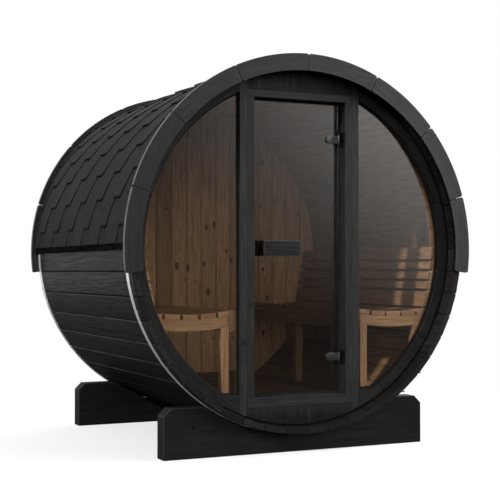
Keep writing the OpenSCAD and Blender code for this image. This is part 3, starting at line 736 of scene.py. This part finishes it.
# %% [markdown]
# ## Glazing seals
#
# A black rubber strip lies round each window pane, in the corner between glass and frame, and
# draws the dark line that outlines the window. Its path is the outline of the opening: the door
# post, the arch and the level bottom rail. A bevelled curve would need a joint at each corner, so
# two copies of the outline, one set in by the width of the strip, are bridged all round. Dust lies
# on the rubber in spots about 30 mm wide.


# %% Two helpers for new pieces
def loose_piece(name, bm, material):
    """A new object from a bmesh."""
    mesh = bpy.data.meshes.new(name)
    bm.to_mesh(mesh)
    bm.free()
    mesh.materials.append(material)
    piece = bpy.data.objects.new(name, mesh)
    bpy.context.scene.collection.objects.link(piece)
    return piece


def cabin_piece(piece):
    """Fixes a new piece to the cabin."""
    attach(piece, "cabin")
    return piece


print("new pieces will ride on the cabin")

# %% Dusty rubber
rubber, tree = empty_material("epdm_rubber")
place = add(tree, "ShaderNodeTexCoord").outputs["Object"]
dust = add(tree, "ShaderNodeTexNoise", {"Vector": place, "Scale": 30.0, "Detail": 3.0})
tone = add(
    tree, "ShaderNodeMix", {0: dust, 6: linear("#030303"), 7: linear("#080808")}, data_type="RGBA"
).outputs[2]
worn = add(tree, "ShaderNodeMapRange", {0: dust, 1: 0.3, 2: 0.7, 3: 0.6, 4: 0.8})
shader = add(
    tree,
    "ShaderNodeBsdfPrincipled",
    {"Base Color": tone, "Roughness": worn, "IOR": 1.5, "Specular IOR Level": 0.1},
)
add(tree, "ShaderNodeOutputMaterial", {0: shader})
print("rubber:", len(tree.nodes), "nodes")

# %% Rubber strips round the window panes
OPENING_R = 926.5 * MM
OPENING_LOW = 333 * MM
SEAL_W = 9 * MM
SEAL_T = 9 * MM
SEAL_SLOPE = 0.35 * SEAL_T
FRAME_PLAY = 0.3 * MM
PANE_PLAY = 0.2 * MM
ARC_STEPS = 48


def opening_outline(inset, sign):
    """Points (x, z) round a window opening, set in by a distance."""
    r = OPENING_R - inset
    x = abs(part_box("post_left")[0].x) + inset
    low = OPENING_LOW + inset
    first = math.asin(x / r)
    last = math.acos((low - AXIS_Z) / r)
    turns = [first + (last - first) * i / ARC_STEPS for i in range(ARC_STEPS + 1)]
    arch = [(r * math.sin(turn), AXIS_Z + r * math.cos(turn)) for turn in turns]
    return [(sign * px, pz) for px, pz in arch + [(x, low)]]


def seal_mesh(sign):
    """A closed strip between the edge of the opening and the same outline set in."""
    bm = bmesh.new()
    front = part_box("window_left")[0].y - PANE_PLAY - SEAL_T
    section = ((FRAME_PLAY, 0.0), (SEAL_W, SEAL_SLOPE), (SEAL_W, SEAL_T), (FRAME_PLAY, SEAL_T))
    loops = []
    for inset, depth in section:
        outline = opening_outline(inset, sign)
        loops.append([bm.verts.new((x, front + depth, z)) for x, z in outline])
    for near, far in zip(loops, loops[1:] + loops[:1]):
        for i in range(len(near)):
            j = (i + 1) % len(near)
            bm.faces.new((near[i], near[j], far[j], far[i]))
    bmesh.ops.recalc_face_normals(bm, faces=bm.faces)
    return bm


for side, sign in (("left", -1), ("right", 1)):
    seal = cabin_piece(loose_piece("glazing_seal_" + side, seal_mesh(sign), rubber))
    print(seal.name, len(seal.data.polygons), "faces")

# %% [markdown]
# ## Bitumen shingles
#
# The roof covering is felt shingle with long hexagonal tabs: each tab is narrow at its lower edge,
# widens up one course, and is then covered by the next two. It could be drawn as a bump on the
# shell, but then the eaves and the raking light would give it away. So the shell is replaced by a
# thin underlay with real tabs on it. A helper turns outlines on the unrolled sheet into closed,
# bent plates. It also marks faces that are drawn black: the cut edges, where bitumen shows, and a
# narrow lip along the lower edge of a tab, which is a painted shadow of the lifted edge. Level edges
# are drawn fully black and edges at the side less dark, as painted shade under the lower edges.

# %% A closed plate bent round the barrel
SIDE_CUT = 0.45


def plate(polygons, place, shadow_lip=None):
    """A closed sheet from polygons on the unrolled roof; place() puts both faces in space.

    Polygons that end no higher than shadow_lip are marked black, as a painted shadow.
    """
    bm = bmesh.new()
    corners = sorted({corner for polygon in polygons for corner in polygon})
    outer = {c: bm.verts.new(place(*c, True)) for c in corners}
    inner = {c: bm.verts.new(place(*c, False)) for c in corners}
    bitumen_and_shadow_layer = bm.faces.layers.float.new("cut")
    rim = set()
    for polygon in polygons:
        top = bm.faces.new([outer[c] for c in polygon])
        if shadow_lip and max(up for along, up in polygon) <= shadow_lip:
            top[bitumen_and_shadow_layer] = 1.0
        bm.faces.new([inner[c] for c in reversed(polygon)])
        for side in zip(polygon, polygon[1:] + polygon[:1]):
            if side[::-1] in rim:
                rim.remove(side[::-1])
            else:
                rim.add(side)
    for start, end in sorted(rim):
        edge = bm.faces.new([outer[start], inner[start], inner[end], outer[end]])
        # Level edges are fully black and side edges less dark: painted shade under the lower edges.
        edge[bitumen_and_shadow_layer] = 1.0 if start[1] == end[1] else SIDE_CUT
    bmesh.ops.recalc_face_normals(bm, faces=bm.faces)
    return bm


print("plates have level edges cut dark and side edges cut at", SIDE_CUT)

# %% One shingle tab
ROOF_BASE = 1033.5 * MM
SHINGLE_T = 3.6 * MM
TAB_PITCH = 311 * MM
COURSE = math.radians(8.65)
COURSE_LEN = 158 * MM
SHEET_LEN = 2 * COURSE_LEN + 20 * MM
TAB_LIFT = 8 * MM
TIP_CURL = 3 * MM
TIP_BUTT = 2.9 * MM
CURL_LEN = 35 * MM
# A black lip along the lower edge of each tab is a painted shadow of the lifted edge.
SHADOW_LIP = 10 * MM
STRIP_HALF = TAB_PITCH / 2 - 0.3 * MM
SHOULDER_HALF = 107.5 * MM
TIP_HALF = 47.5 * MM


def on_slope(along, up, is_outer):
    """A point of a shingle whose lower edge lies on the ridge line and which runs towards +x."""
    curl = math.exp(-up / CURL_LEN)
    lift = TAB_LIFT * (1 - up / SHEET_LEN) + TIP_CURL * curl
    r = ROOF_BASE + lift + (SHINGLE_T if is_outer else -TIP_BUTT * curl)
    return (r * math.sin(up / ROOF_BASE), along, r * math.cos(up / ROOF_BASE))


def tab_polygons():
    """The tab's outline as quads: a widening tongue, then the full strip above it."""
    ups = (0.0, SHADOW_LIP, 0.12 * COURSE_LEN, 0.3 * COURSE_LEN, 0.6 * COURSE_LEN, COURSE_LEN)
    rows = [(up, TIP_HALF + up / COURSE_LEN * (SHOULDER_HALF - TIP_HALF)) for up in ups]
    quads = []
    for (low, low_w), (high, high_w) in zip(rows, rows[1:]):
        quads.append([(-low_w, low), (low_w, low), (high_w, high), (-high_w, high)])
    ups = [COURSE_LEN, (COURSE_LEN + SHEET_LEN) / 2, SHEET_LEN]
    columns = [-STRIP_HALF, -SHOULDER_HALF, SHOULDER_HALF, STRIP_HALF]
    for low, high in zip(ups, ups[1:]):
        for left, right in zip(columns, columns[1:]):
            quads.append([(left, low), (right, low), (right, high), (left, high)])
    return quads


tab_mesh = bpy.data.meshes.new("shingle_tab")
plate(tab_polygons(), on_slope, SHADOW_LIP).to_mesh(tab_mesh)
print("tab:", len(tab_mesh.polygons), "faces")

# %% [markdown]
# ### The felt itself
#
# Mineral granules pressed into bitumen: a dull grey with single lighter and darker grains, and each
# tab a little different because it comes from another place of the roll. Granules are 1 to 2 mm, and
# are drawn 6 mm wide to show. Weather leaves patches about 170 mm wide. Bare bitumen at the cut edges
# is black, and the same black is painted as a shadow on a lip along each tab's lower edge.

# %% Granule-faced bitumen
GRANULE = 6 * MM
felt, tree = empty_material("granule_bitumen")
place = add(tree, "ShaderNodeTexCoord").outputs["Object"]
grit = add(
    tree, "ShaderNodeTexNoise", {"Vector": place, "Scale": 1 / GRANULE, "Detail": 2.0, "Roughness": 0.7}
)
cloud = add(tree, "ShaderNodeTexNoise", {"Vector": place, "Scale": 6.0, "Detail": 3.0})
tab_shade = add(tree, "ShaderNodeAttribute", attribute_name="tab").outputs["Fac"]
speck = add(tree, "ShaderNodeMapRange", {0: grit, 1: 0.35, 2: 0.68})
granules = add(
    tree, "ShaderNodeMix", {0: speck, 6: linear("#050505"), 7: linear("#2c2c2e")}, data_type="RGBA"
).outputs[2]
patch = add(tree, "ShaderNodeMath", {0: tab_shade, 1: 0.5, 2: cloud}, operation="MULTIPLY_ADD")
weather = add(tree, "ShaderNodeMapRange", {0: patch, 1: 0.3, 2: 1.2, 3: 0.8, 4: 1.2})
aged = add(tree, "ShaderNodeVectorMath", {0: granules, "Scale": weather}, operation="SCALE")
# Black where bitumen is cut, and as painted shadow on the lip along each tab's lower edge.
bitumen_and_shadow = add(tree, "ShaderNodeAttribute", attribute_name="cut").outputs["Fac"]
edged = add(tree, "ShaderNodeMix", {0: bitumen_and_shadow, 6: aged, 7: linear("#030303")}, data_type="RGBA").outputs[2]
bump = add(tree, "ShaderNodeBump", {"Height": grit, "Strength": 0.6, "Distance": 0.8 * MM})
shader = add(
    tree,
    "ShaderNodeBsdfPrincipled",
    {
        "Base Color": edged,
        "Roughness": 0.88,
        "Normal": bump,
        "IOR": 1.5,
        "Specular IOR Level": 0.14,
    },
)
add(tree, "ShaderNodeOutputMaterial", {0: shader})
print("felt:", len(tree.nodes), "nodes")

# %% [markdown]
# ### Laying the courses
#
# A roofer lays tabs in rows, each row shifted by half a tab. That is a rule with an index, so a
# Geometry Nodes tree does it: points are counted off into rows and columns, a tab is put on each,
# and the turn about the barrel's axis places its row. The other slope is the same roof turned half
# round. Trees on this barrel all end alike: their copies are made real, turned, lifted to the axis
# and given a finish. One helper starts such a tree, one ends it, and one turns it into a mesh.


# %% Helpers for growing trees
def growing_tree(name, counts, sizes):
    """A geometry tree with inputs for whole numbers and for sizes, and those inputs' sockets."""
    made = bpy.data.node_groups.new(name, "GeometryNodeTree")
    inputs = {
        "Geometry": ["Geometry"],
        "Int": counts,
        "Float": sizes + ["Turn", "Axis height"],
        "Material": ["Finish"],
    }
    for kind, labels in inputs.items():
        for label in labels:
            made.interface.new_socket(label, in_out="INPUT", socket_type="NodeSocket" + kind)
    made.interface.new_socket("Geometry", in_out="OUTPUT", socket_type="NodeSocketGeometry")
    return made, add(made, "NodeGroupInput").outputs


def set_on_barrel(tree, given, copies):
    """Ends a tree: its copies become real, turn about the upright, and rise to the barrel's axis."""
    real = add(tree, "GeometryNodeRealizeInstances", {0: copies})
    swing = add(tree, "ShaderNodeCombineXYZ", {2: given["Turn"]})
    turned = add(tree, "FunctionNodeEulerToRotation", {0: swing})
    lift = add(tree, "ShaderNodeCombineXYZ", {2: given["Axis height"]})
    placed = add(
        tree, "GeometryNodeTransform", {"Geometry": real, "Translation": lift, "Rotation": turned}
    )
    faced = add(tree, "GeometryNodeSetMaterial", {"Geometry": placed, "Material": given["Finish"]})
    add(tree, "NodeGroupOutput", {0: faced})


def grown(name, seed_mesh, tree, values):
    """An object whose mesh is what the tree makes of seed_mesh."""
    piece = bpy.data.objects.new(name, seed_mesh)
    bpy.context.scene.collection.objects.link(piece)
    modifier = piece.modifiers.new("grow", "NODES")
    modifier.node_group = tree
    values = {"Axis height": AXIS_Z, **values}
    for item in tree.interface.items_tree:
        if item.in_out == "INPUT" and item.name in values:
            modifier[item.identifier] = values[item.name]
    bpy.context.view_layer.update()
    settled = bpy.context.evaluated_depsgraph_get()
    mesh = bpy.data.meshes.new_from_object(
        piece.evaluated_get(settled), preserve_all_data_layers=True, depsgraph=settled
    )
    piece.modifiers.clear()
    piece.data = mesh
    mesh.name = name
    return piece


print("trees will be lifted to", round(AXIS_Z, 4), "m")

# %% The tree that lays one slope
slope_tree, given = growing_tree(
    "shingle_slope", ["Courses", "Tabs", "Seed"], ["Pitch", "Shift", "First angle", "Course angle"]
)
tree = slope_tree
courses, tabs = given["Courses"], given["Tabs"]
amount = add(tree, "ShaderNodeMath", {0: courses, 1: tabs}, operation="MULTIPLY")
index = add(tree, "GeometryNodeInputIndex")
share = add(tree, "ShaderNodeMath", {0: index, 1: tabs}, operation="DIVIDE")
row = add(tree, "ShaderNodeMath", {0: share}, operation="FLOOR")
column = add(tree, "ShaderNodeMath", {0: index, 1: tabs}, operation="FLOORED_MODULO")
odd = add(tree, "ShaderNodeMath", {0: row, 1: 2.0}, operation="FLOORED_MODULO")
stagger = add(tree, "ShaderNodeMath", {0: odd, 1: 0.5, 2: column}, operation="MULTIPLY_ADD")
along = add(
    tree, "ShaderNodeMath", {0: stagger, 1: given["Pitch"], 2: given["Shift"]}, operation="MULTIPLY_ADD"
)
spot = add(tree, "ShaderNodeCombineXYZ", {1: along})
angle = add(
    tree,
    "ShaderNodeMath",
    {0: row, 1: given["Course angle"], 2: given["First angle"]},
    operation="MULTIPLY_ADD",
)
lean = add(tree, "ShaderNodeCombineXYZ", {1: angle})
turned = add(tree, "FunctionNodeEulerToRotation", {0: lean})
points = add(tree, "GeometryNodePoints", {"Count": amount, "Position": spot})
laid = add(
    tree,
    "GeometryNodeInstanceOnPoints",
    {"Points": points, "Instance": given["Geometry"], "Rotation": turned},
)
chance = add(tree, "FunctionNodeRandomValue", {"Seed": given["Seed"]}, data_type="FLOAT")
shaded = add(
    tree,
    "GeometryNodeStoreNamedAttribute",
    {"Geometry": laid, "Name": "tab", "Value": chance.outputs[1]},
    data_type="FLOAT",
    domain="INSTANCE",
)
set_on_barrel(tree, given, shaded)
print("slope tree:", len(tree.nodes), "nodes")

# %% [markdown]
# ### Trimming the verges
#
# Rows run past the ends of the barrel and are cut off level with the staves, as on the real roof,
# where the fascia covers the cut. The lowest row is cut off at the eave.

# %% Cut a piece along planes
VERGE = STAVE_BACK - 0.3 * MM
EAVE = math.radians(89)
VERGE_CUTS = [((0, -VERGE, 0), (0, -1, 0)), ((0, VERGE, 0), (0, 1, 0))]


def trimmed(piece, cuts):
    """Cuts off what lies beyond each plane, given as a point and a normal, and closes the cuts."""
    bm = bmesh.new()
    bm.from_mesh(piece.data)
    for spot, outward in cuts:
        cut = bmesh.ops.bisect_plane(
            bm,
            geom=bm.verts[:] + bm.edges[:] + bm.faces[:],
            plane_co=spot,
            plane_no=outward,
            clear_outer=True,
        )
        edges = [e for e in cut["geom_cut"] if isinstance(e, bmesh.types.BMEdge)]
        bmesh.ops.holes_fill(bm, edges=edges, sides=0)
    bm.to_mesh(piece.data)
    bm.free()
    return piece


print("verges at", round(VERGE, 4), "m, eaves at", round(math.degrees(EAVE)), "degrees")

# %% Lay both slopes and trim them
FIRST_COURSE = math.radians(-83.9) - COURSE
TAB_START = -1.103
# For each slope: its half turn, the tabs by which its rows start early, its seed and downhill x.
SLOPES = {"left": (0.0, 0.5, 3, -1), "right": (math.pi, 1.0, 8, 1)}
for side, (turn, early, seed, sign) in SLOPES.items():
    slope = grown(
        "shingles_" + side,
        tab_mesh.copy(),
        slope_tree,
        {
            "Courses": 10,
            "Tabs": 9,
            "Pitch": TAB_PITCH,
            "Shift": TAB_START - early * TAB_PITCH,
            "First angle": FIRST_COURSE,
            "Course angle": COURSE,
            "Turn": turn,
            "Seed": seed,
            "Finish": felt,
        },
    )
    eave_cut = ((0, 0, AXIS_Z), (sign * math.cos(EAVE), 0, -math.sin(EAVE)))
    cabin_piece(trimmed(slope, VERGE_CUTS + [eave_cut]))
    print(slope.name, len(slope.data.polygons), "faces")

# %% [markdown]
# ### Underlay, starter strips and ridge
#
# Under the tabs lies one sheet of felt, which stands for the solid shell. A plain strip starts each
# slope at the eave, and bent caps close the ridge. The caps overlap like scales along the ridge, so
# the slope's tree lays them, as a single row.

# %% Underlay and starter strips
UNDERLAY_T = 1.5 * MM
STARTER_LIFT = 3 * MM
STARTER_TURN = math.radians(19)


def strip_polygons(low, high, steps):
    """A strip over the whole length of the barrel, in steps up the slope."""
    ups = [low + (high - low) * i / steps for i in range(steps + 1)]
    return [[(-VERGE, a), (VERGE, a), (VERGE, b), (-VERGE, b)] for a, b in zip(ups, ups[1:])]


def on_underlay(along, turn, is_outer):
    """A point of the underlay sheet."""
    r = ROOF_BASE if is_outer else ROOF_BASE - UNDERLAY_T
    return (r * math.sin(turn), along, AXIS_Z + r * math.cos(turn))


underlay = loose_piece("roof_underlay", plate(strip_polygons(-EAVE, EAVE, 72), on_underlay), felt)
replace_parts(cabin_piece(underlay), "roof_shell")

for side, sign in (("left", -1), ("right", 1)):

    def on_starter(along, turn, is_outer):
        """A point of the starter strip; turn counts up from the eave."""
        r = ROOF_BASE + STARTER_LIFT * (1 - turn / STARTER_TURN) + (SHINGLE_T if is_outer else 0)
        phi = sign * (EAVE - turn)
        return (r * math.sin(phi), along, AXIS_Z + r * math.cos(phi))

    starter = plate(strip_polygons(0.0, STARTER_TURN, 5), on_starter)
    cabin_piece(loose_piece("starter_strip_" + side, starter, felt))
print("underlay:", len(underlay.data.polygons), "faces, and two starter strips")

# %% Ridge caps
CAP_HALF = 150 * MM
CAP_LEN = 260 * MM
CAP_STEP = 180 * MM
CAP_LIFT = 9 * MM
CAP_RISE = 2.6 * MM
CAP_T = 1.6 * MM
CAP_FACETS = 8
CAP_EARLY = 0.1


def on_cap(along, across, is_outer):
    """A point of a ridge cap whose back end is lifted over the cap behind it."""
    r = ROOF_BASE + CAP_LIFT + CAP_RISE * along / CAP_LEN + (CAP_T if is_outer else 0)
    return (r * math.sin(across / r), along, r * math.cos(across / r))


cap_rows = [-CAP_HALF + 2 * CAP_HALF * i / CAP_FACETS for i in range(CAP_FACETS + 1)]
cap_polygons = [
    [(0.0, a), (CAP_LEN, a), (CAP_LEN, b), (0.0, b)] for a, b in zip(cap_rows, cap_rows[1:])
]
cap_mesh = bpy.data.meshes.new("ridge_cap")
plate(cap_polygons, on_cap).to_mesh(cap_mesh)
ridge = grown(
    "ridge_caps",
    cap_mesh,
    slope_tree,
    {
        "Courses": 1,
        "Tabs": 12,
        "Pitch": CAP_STEP,
        "Shift": -VERGE - CAP_EARLY,
        "First angle": 0.0,
        "Course angle": 0.0,
        "Turn": 0.0,
        "Seed": 5,
        "Finish": felt,
    },
)
cabin_piece(trimmed(ridge, VERGE_CUTS))
print("ridge:", len(ridge.data.polygons), "faces")

# %% [markdown]
# ## Screws in the fascia
#
# Each arch segment is held by two countersunk screws at each end. They sit in a rule of angles, so a
# tree puts them there: four to a segment, two radii, a fixed distance from each joint. The head is a
# low cone with a shallow round recess, in zinc that was blackened unevenly, in spots of 2.5 mm.

# %% The screw head
HEAD_R = 4.6 * MM
HEAD_SIDES = 20
# Radius as a share of the head's, and depth behind the board's face: root, rim and crown.
HEAD_RINGS = ((0.5, 2.5 * MM), (1.0, 0.0), (0.9, -0.2 * MM))
RECESS_RIM = 1.6 * MM
RECESS_DEPTH = 0.15 * MM
head = bmesh.new()
spokes = [math.tau * i / HEAD_SIDES for i in range(HEAD_SIDES)]
root, rim, crown = [
    [head.verts.new((share * HEAD_R * math.cos(a), y, share * HEAD_R * math.sin(a))) for a in spokes]
    for share, y in HEAD_RINGS
]
for i in range(HEAD_SIDES):
    j = (i + 1) % HEAD_SIDES
    head.faces.new((rim[i], rim[j], crown[j], crown[i]))
    head.faces.new((root[i], root[j], rim[j], rim[i]))
head.faces.new(root)
top = head.faces.new(crown)
bmesh.ops.recalc_face_normals(head, faces=head.faces)
bmesh.ops.inset_individual(head, faces=[top], thickness=RECESS_RIM, depth=-RECESS_DEPTH)
head_mesh = bpy.data.meshes.new("screw_head")
head.to_mesh(head_mesh)
head.free()
print("screw head:", len(head_mesh.polygons), "faces")

# %% Blackened zinc
screw_black, tree = empty_material("blackened_zinc")
place = add(tree, "ShaderNodeTexCoord").outputs["Object"]
spots = add(tree, "ShaderNodeTexNoise", {"Vector": place, "Scale": 400.0, "Detail": 2.0})
tone = add(
    tree, "ShaderNodeMix", {0: spots, 6: linear("#161617"), 7: linear("#2c2c2e")}, data_type="RGBA"
).outputs[2]
shader = add(tree, "ShaderNodeBsdfPrincipled", {"Base Color": tone, "Metallic": 1.0, "Roughness": 0.45})
add(tree, "ShaderNodeOutputMaterial", {0: shader})
print("zinc:", len(tree.nodes), "nodes")

# %% The tree that drives the screws
screw_tree, given = growing_tree(
    "arch_screws",
    ["Segments"],
    ["Segment angle", "End angle", "Inner radius", "Radius step", "Face y"],
)
tree = screw_tree
segments, step, end = given["Segments"], given["Segment angle"], given["End angle"]
amount = add(tree, "ShaderNodeMath", {0: segments, 1: 4.0}, operation="MULTIPLY")
index = add(tree, "GeometryNodeInputIndex")
quarter = add(tree, "ShaderNodeMath", {0: index, 1: 0.25}, operation="MULTIPLY")
segment = add(tree, "ShaderNodeMath", {0: quarter}, operation="FLOOR")
outer_row = add(tree, "ShaderNodeMath", {0: index, 1: 2.0}, operation="FLOORED_MODULO")
half = add(tree, "ShaderNodeMath", {0: index, 1: 0.5}, operation="MULTIPLY")
pair = add(tree, "ShaderNodeMath", {0: half}, operation="FLOOR")
far_end = add(tree, "ShaderNodeMath", {0: pair, 1: 2.0}, operation="FLOORED_MODULO")
# From one end of a segment to the other is the segment less an end distance on each side.
twice_end = add(tree, "ShaderNodeMath", {0: end, 1: 2.0}, operation="MULTIPLY")
reach = add(tree, "ShaderNodeMath", {0: step, 1: twice_end}, operation="SUBTRACT")
into = add(tree, "ShaderNodeMath", {0: far_end, 1: reach, 2: end}, operation="MULTIPLY_ADD")
middle = add(tree, "ShaderNodeMath", {0: segments, 1: 0.5}, operation="MULTIPLY")
from_top = add(tree, "ShaderNodeMath", {0: segment, 1: middle}, operation="SUBTRACT")
phi = add(tree, "ShaderNodeMath", {0: from_top, 1: step, 2: into}, operation="MULTIPLY_ADD")
r = add(
    tree,
    "ShaderNodeMath",
    {0: outer_row, 1: given["Radius step"], 2: given["Inner radius"]},
    operation="MULTIPLY_ADD",
)
sine = add(tree, "ShaderNodeMath", {0: phi}, operation="SINE")
cosine = add(tree, "ShaderNodeMath", {0: phi}, operation="COSINE")
x = add(tree, "ShaderNodeMath", {0: r, 1: sine}, operation="MULTIPLY")
z = add(tree, "ShaderNodeMath", {0: r, 1: cosine}, operation="MULTIPLY")
spot = add(tree, "ShaderNodeCombineXYZ", {0: x, 1: given["Face y"], 2: z})
points = add(tree, "GeometryNodePoints", {"Count": amount, "Position": spot})
driven = add(tree, "GeometryNodeInstanceOnPoints", {"Points": points, "Instance": given["Geometry"]})
set_on_barrel(tree, given, driven)
print("screw tree:", len(tree.nodes), "nodes")

# %% Drive the screws at both ends
FASCIA_STEP = math.radians(24.43)
SCREW_R = 1000 * MM
SCREW_ROWS = 44 * MM
SCREW_END = 32 * MM
FASCIA_MIDDLE_R = 1020 * MM
FACES = {
    "front": (0.0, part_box("front_fascia")[0].y),
    "back": (math.pi, -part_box("back_fascia")[1].y),
}
for side, (turn, face) in FACES.items():
    screws = grown(
        side + "_fascia_screws",
        head_mesh.copy(),
        screw_tree,
        {
            "Segments": 8,
            "Segment angle": FASCIA_STEP,
            "End angle": SCREW_END / FASCIA_MIDDLE_R,
            "Inner radius": SCREW_R,
            "Radius step": SCREW_ROWS,
            "Face y": face,
            "Turn": turn,
            "Finish": screw_black,
        },
    )
    cabin_piece(screws)
    print(screws.name, len(screws.data.polygons), "faces")

# %% [markdown]
# ## Studio
#
# A white studio: a pale floor disc that keeps the shadow, and a graded dome that is bright overhead,
# brighter at the right, and brightest in one box at the front. The camera sees plain white in place
# of the dome, straight on and through glass, and so do mirror rays that look to the back. Other
# mirror rays see the dome. One lamp, low at the left, draws the sun patches in the room. Light
# reaches the object at a plain level, so that a colour renders about as it is written.

# %% Floor
FLOOR_R = 3.4
floor_mesh = bmesh.new()
bmesh.ops.create_circle(floor_mesh, cap_ends=True, radius=FLOOR_R, segments=96)
floor_white, tree = empty_material("studio_floor")
studio_floor = loose_piece("studio_floor", floor_mesh, floor_white)
place = add(tree, "ShaderNodeTexCoord").outputs["Object"]
from_middle = add(tree, "ShaderNodeVectorMath", {0: place}, operation="LENGTH").outputs["Value"]
# The floor fades to plain white from 1.2 to 3.2 m. Other light than the camera's meets dark grey.
fade = add(
    tree,
    "ShaderNodeMapRange",
    {0: from_middle, 1: 1.2, 2: 3.2, 3: 0.62, 4: 1.0},
    interpolation_type="SMOOTHSTEP",
)
camera_ray = add(tree, "ShaderNodeLightPath").outputs["Is Camera Ray"]
seen = add(tree, "ShaderNodeMath", {0: fade, 1: camera_ray}, operation="MULTIPLY")
tone = add(
    tree, "ShaderNodeMix", {0: camera_ray, 6: linear("#3a3a3a"), 7: linear("#e6e6e6")}, data_type="RGBA"
).outputs[2]
pale = add(tree, "ShaderNodeBsdfDiffuse", {0: tone})
white = add(tree, "ShaderNodeEmission", {0: (1, 1, 1, 1), 1: 1.0})
both = add(tree, "ShaderNodeMixShader", {0: seen, 1: pale, 2: white})
add(tree, "ShaderNodeOutputMaterial", {0: both})
print("floor", FLOOR_R, "m in radius")

# %% Dome
world = bpy.data.worlds.new("studio_dome")
bpy.context.scene.world = world
world.use_nodes = True
tree = world.node_tree
tree.nodes.clear()
FRONT_BOX = Vector((-0.24, -0.96, 0.17)).normalized()
direction = add(tree, "ShaderNodeTexCoord").outputs["Generated"]
x, y, z = add(tree, "ShaderNodeSeparateXYZ", {0: direction}).outputs
slant = add(tree, "ShaderNodeMath", {0: x, 1: 0.3, 2: z}, operation="MULTIPLY_ADD")
facing = add(tree, "ShaderNodeVectorMath", {0: direction, 1: FRONT_BOX}, operation="DOT_PRODUCT")
# For each part of the dome: what it follows, from and to which value, and its least and most light.
DOME = {
    "ceiling": (z, 0.15, 0.95, 0.03, 1.0),
    "right": (x, 0.25, 0.76, 0.0, 4.9),
    "above_floor": (slant, 0.085, 0.41, 0.025, 1.0),
    "back": (y, 0.3, 0.85, 0.0, 1.0),
    "above_back": (z, -0.2, -0.04, 0.0, 1.0),
    "front_box": (facing.outputs["Value"], 0.945, 0.99, 0.0, 5.0),
}
glow = {
    part: add(tree, "ShaderNodeMapRange", dict(enumerate(run)), interpolation_type="SMOOTHSTEP")
    for part, run in DOME.items()
}
right_wall = add(
    tree, "ShaderNodeMath", {0: glow["right"], 1: glow["above_floor"]}, operation="MULTIPLY"
)
backdrop = add(tree, "ShaderNodeMath", {0: glow["back"], 1: glow["above_back"]}, operation="MULTIPLY")
level = glow["ceiling"]
for part in (right_wall, backdrop, glow["front_box"]):
    level = add(tree, "ShaderNodeMath", {0: level, 1: part}, operation="ADD")
print("dome parts:", list(DOME))

# %% What each kind of ray sees of the dome
ray = add(tree, "ShaderNodeLightPath").outputs
unmirrored = add(tree, "ShaderNodeMath", {0: ray["Glossy Depth"], 1: 0.5}, operation="LESS_THAN")
through = add(
    tree, "ShaderNodeMath", {0: ray["Is Transmission Ray"], 1: unmirrored}, operation="MULTIPLY"
)
seen = add(tree, "ShaderNodeMath", {0: ray["Is Camera Ray"], 1: through}, operation="MAXIMUM")
mirrored = add(tree, "ShaderNodeMath", {0: ray["Is Glossy Ray"], 1: backdrop}, operation="MULTIPLY")
shown = add(tree, "ShaderNodeMath", {0: seen, 1: mirrored}, operation="MAXIMUM")
studio = add(tree, "ShaderNodeBackground", {0: linear("#fdfcfb"), 1: level})
white = add(tree, "ShaderNodeBackground", {0: (1, 1, 1, 1), 1: 1.0})
mixed = add(tree, "ShaderNodeMixShader", {0: shown, 1: studio, 2: white})
add(tree, "ShaderNodeOutputWorld", {0: mixed})
print("dome:", len(tree.nodes), "nodes")

# %% Key lamp
KEY_TRAVEL = Vector((0.84, 0.27, -0.47))
key = bpy.data.lights.new("left_key", "SUN")
key.energy = 2.9
key.angle = math.radians(3)
lamp = bpy.data.objects.new("left_key", key)
lamp.rotation_euler = KEY_TRAVEL.to_track_quat("-Z", "Y").to_euler()
bpy.context.scene.collection.objects.link(lamp)
print("key lamp travels", KEY_TRAVEL[:])

# %% [markdown]
# ## Camera
#
# The view was fitted to the picture by the straight lines of the barrel and the circles of its
# ends: about eye height, from the front left, with a moderate telephoto.

# %% Camera and colour management
view = bpy.data.cameras.new("photo_view")
view.sensor_width = 36.0
view.lens = 82.82
camera = bpy.data.objects.new("photo_view", view)
camera.location = (-3.0059, -6.5124, 1.0115)
camera.rotation_euler = (math.radians(90.9865), 0.0, math.radians(-25.3624))
bpy.context.scene.collection.objects.link(camera)
bpy.context.scene.camera = camera
bpy.context.scene.view_settings.view_transform = "Standard"
print("camera at", camera.location[:])

# %% [markdown]
# ## Last update
#
# The view layer is brought up to date at the end.

# %% Update the view layer
bpy.context.view_layer.update()
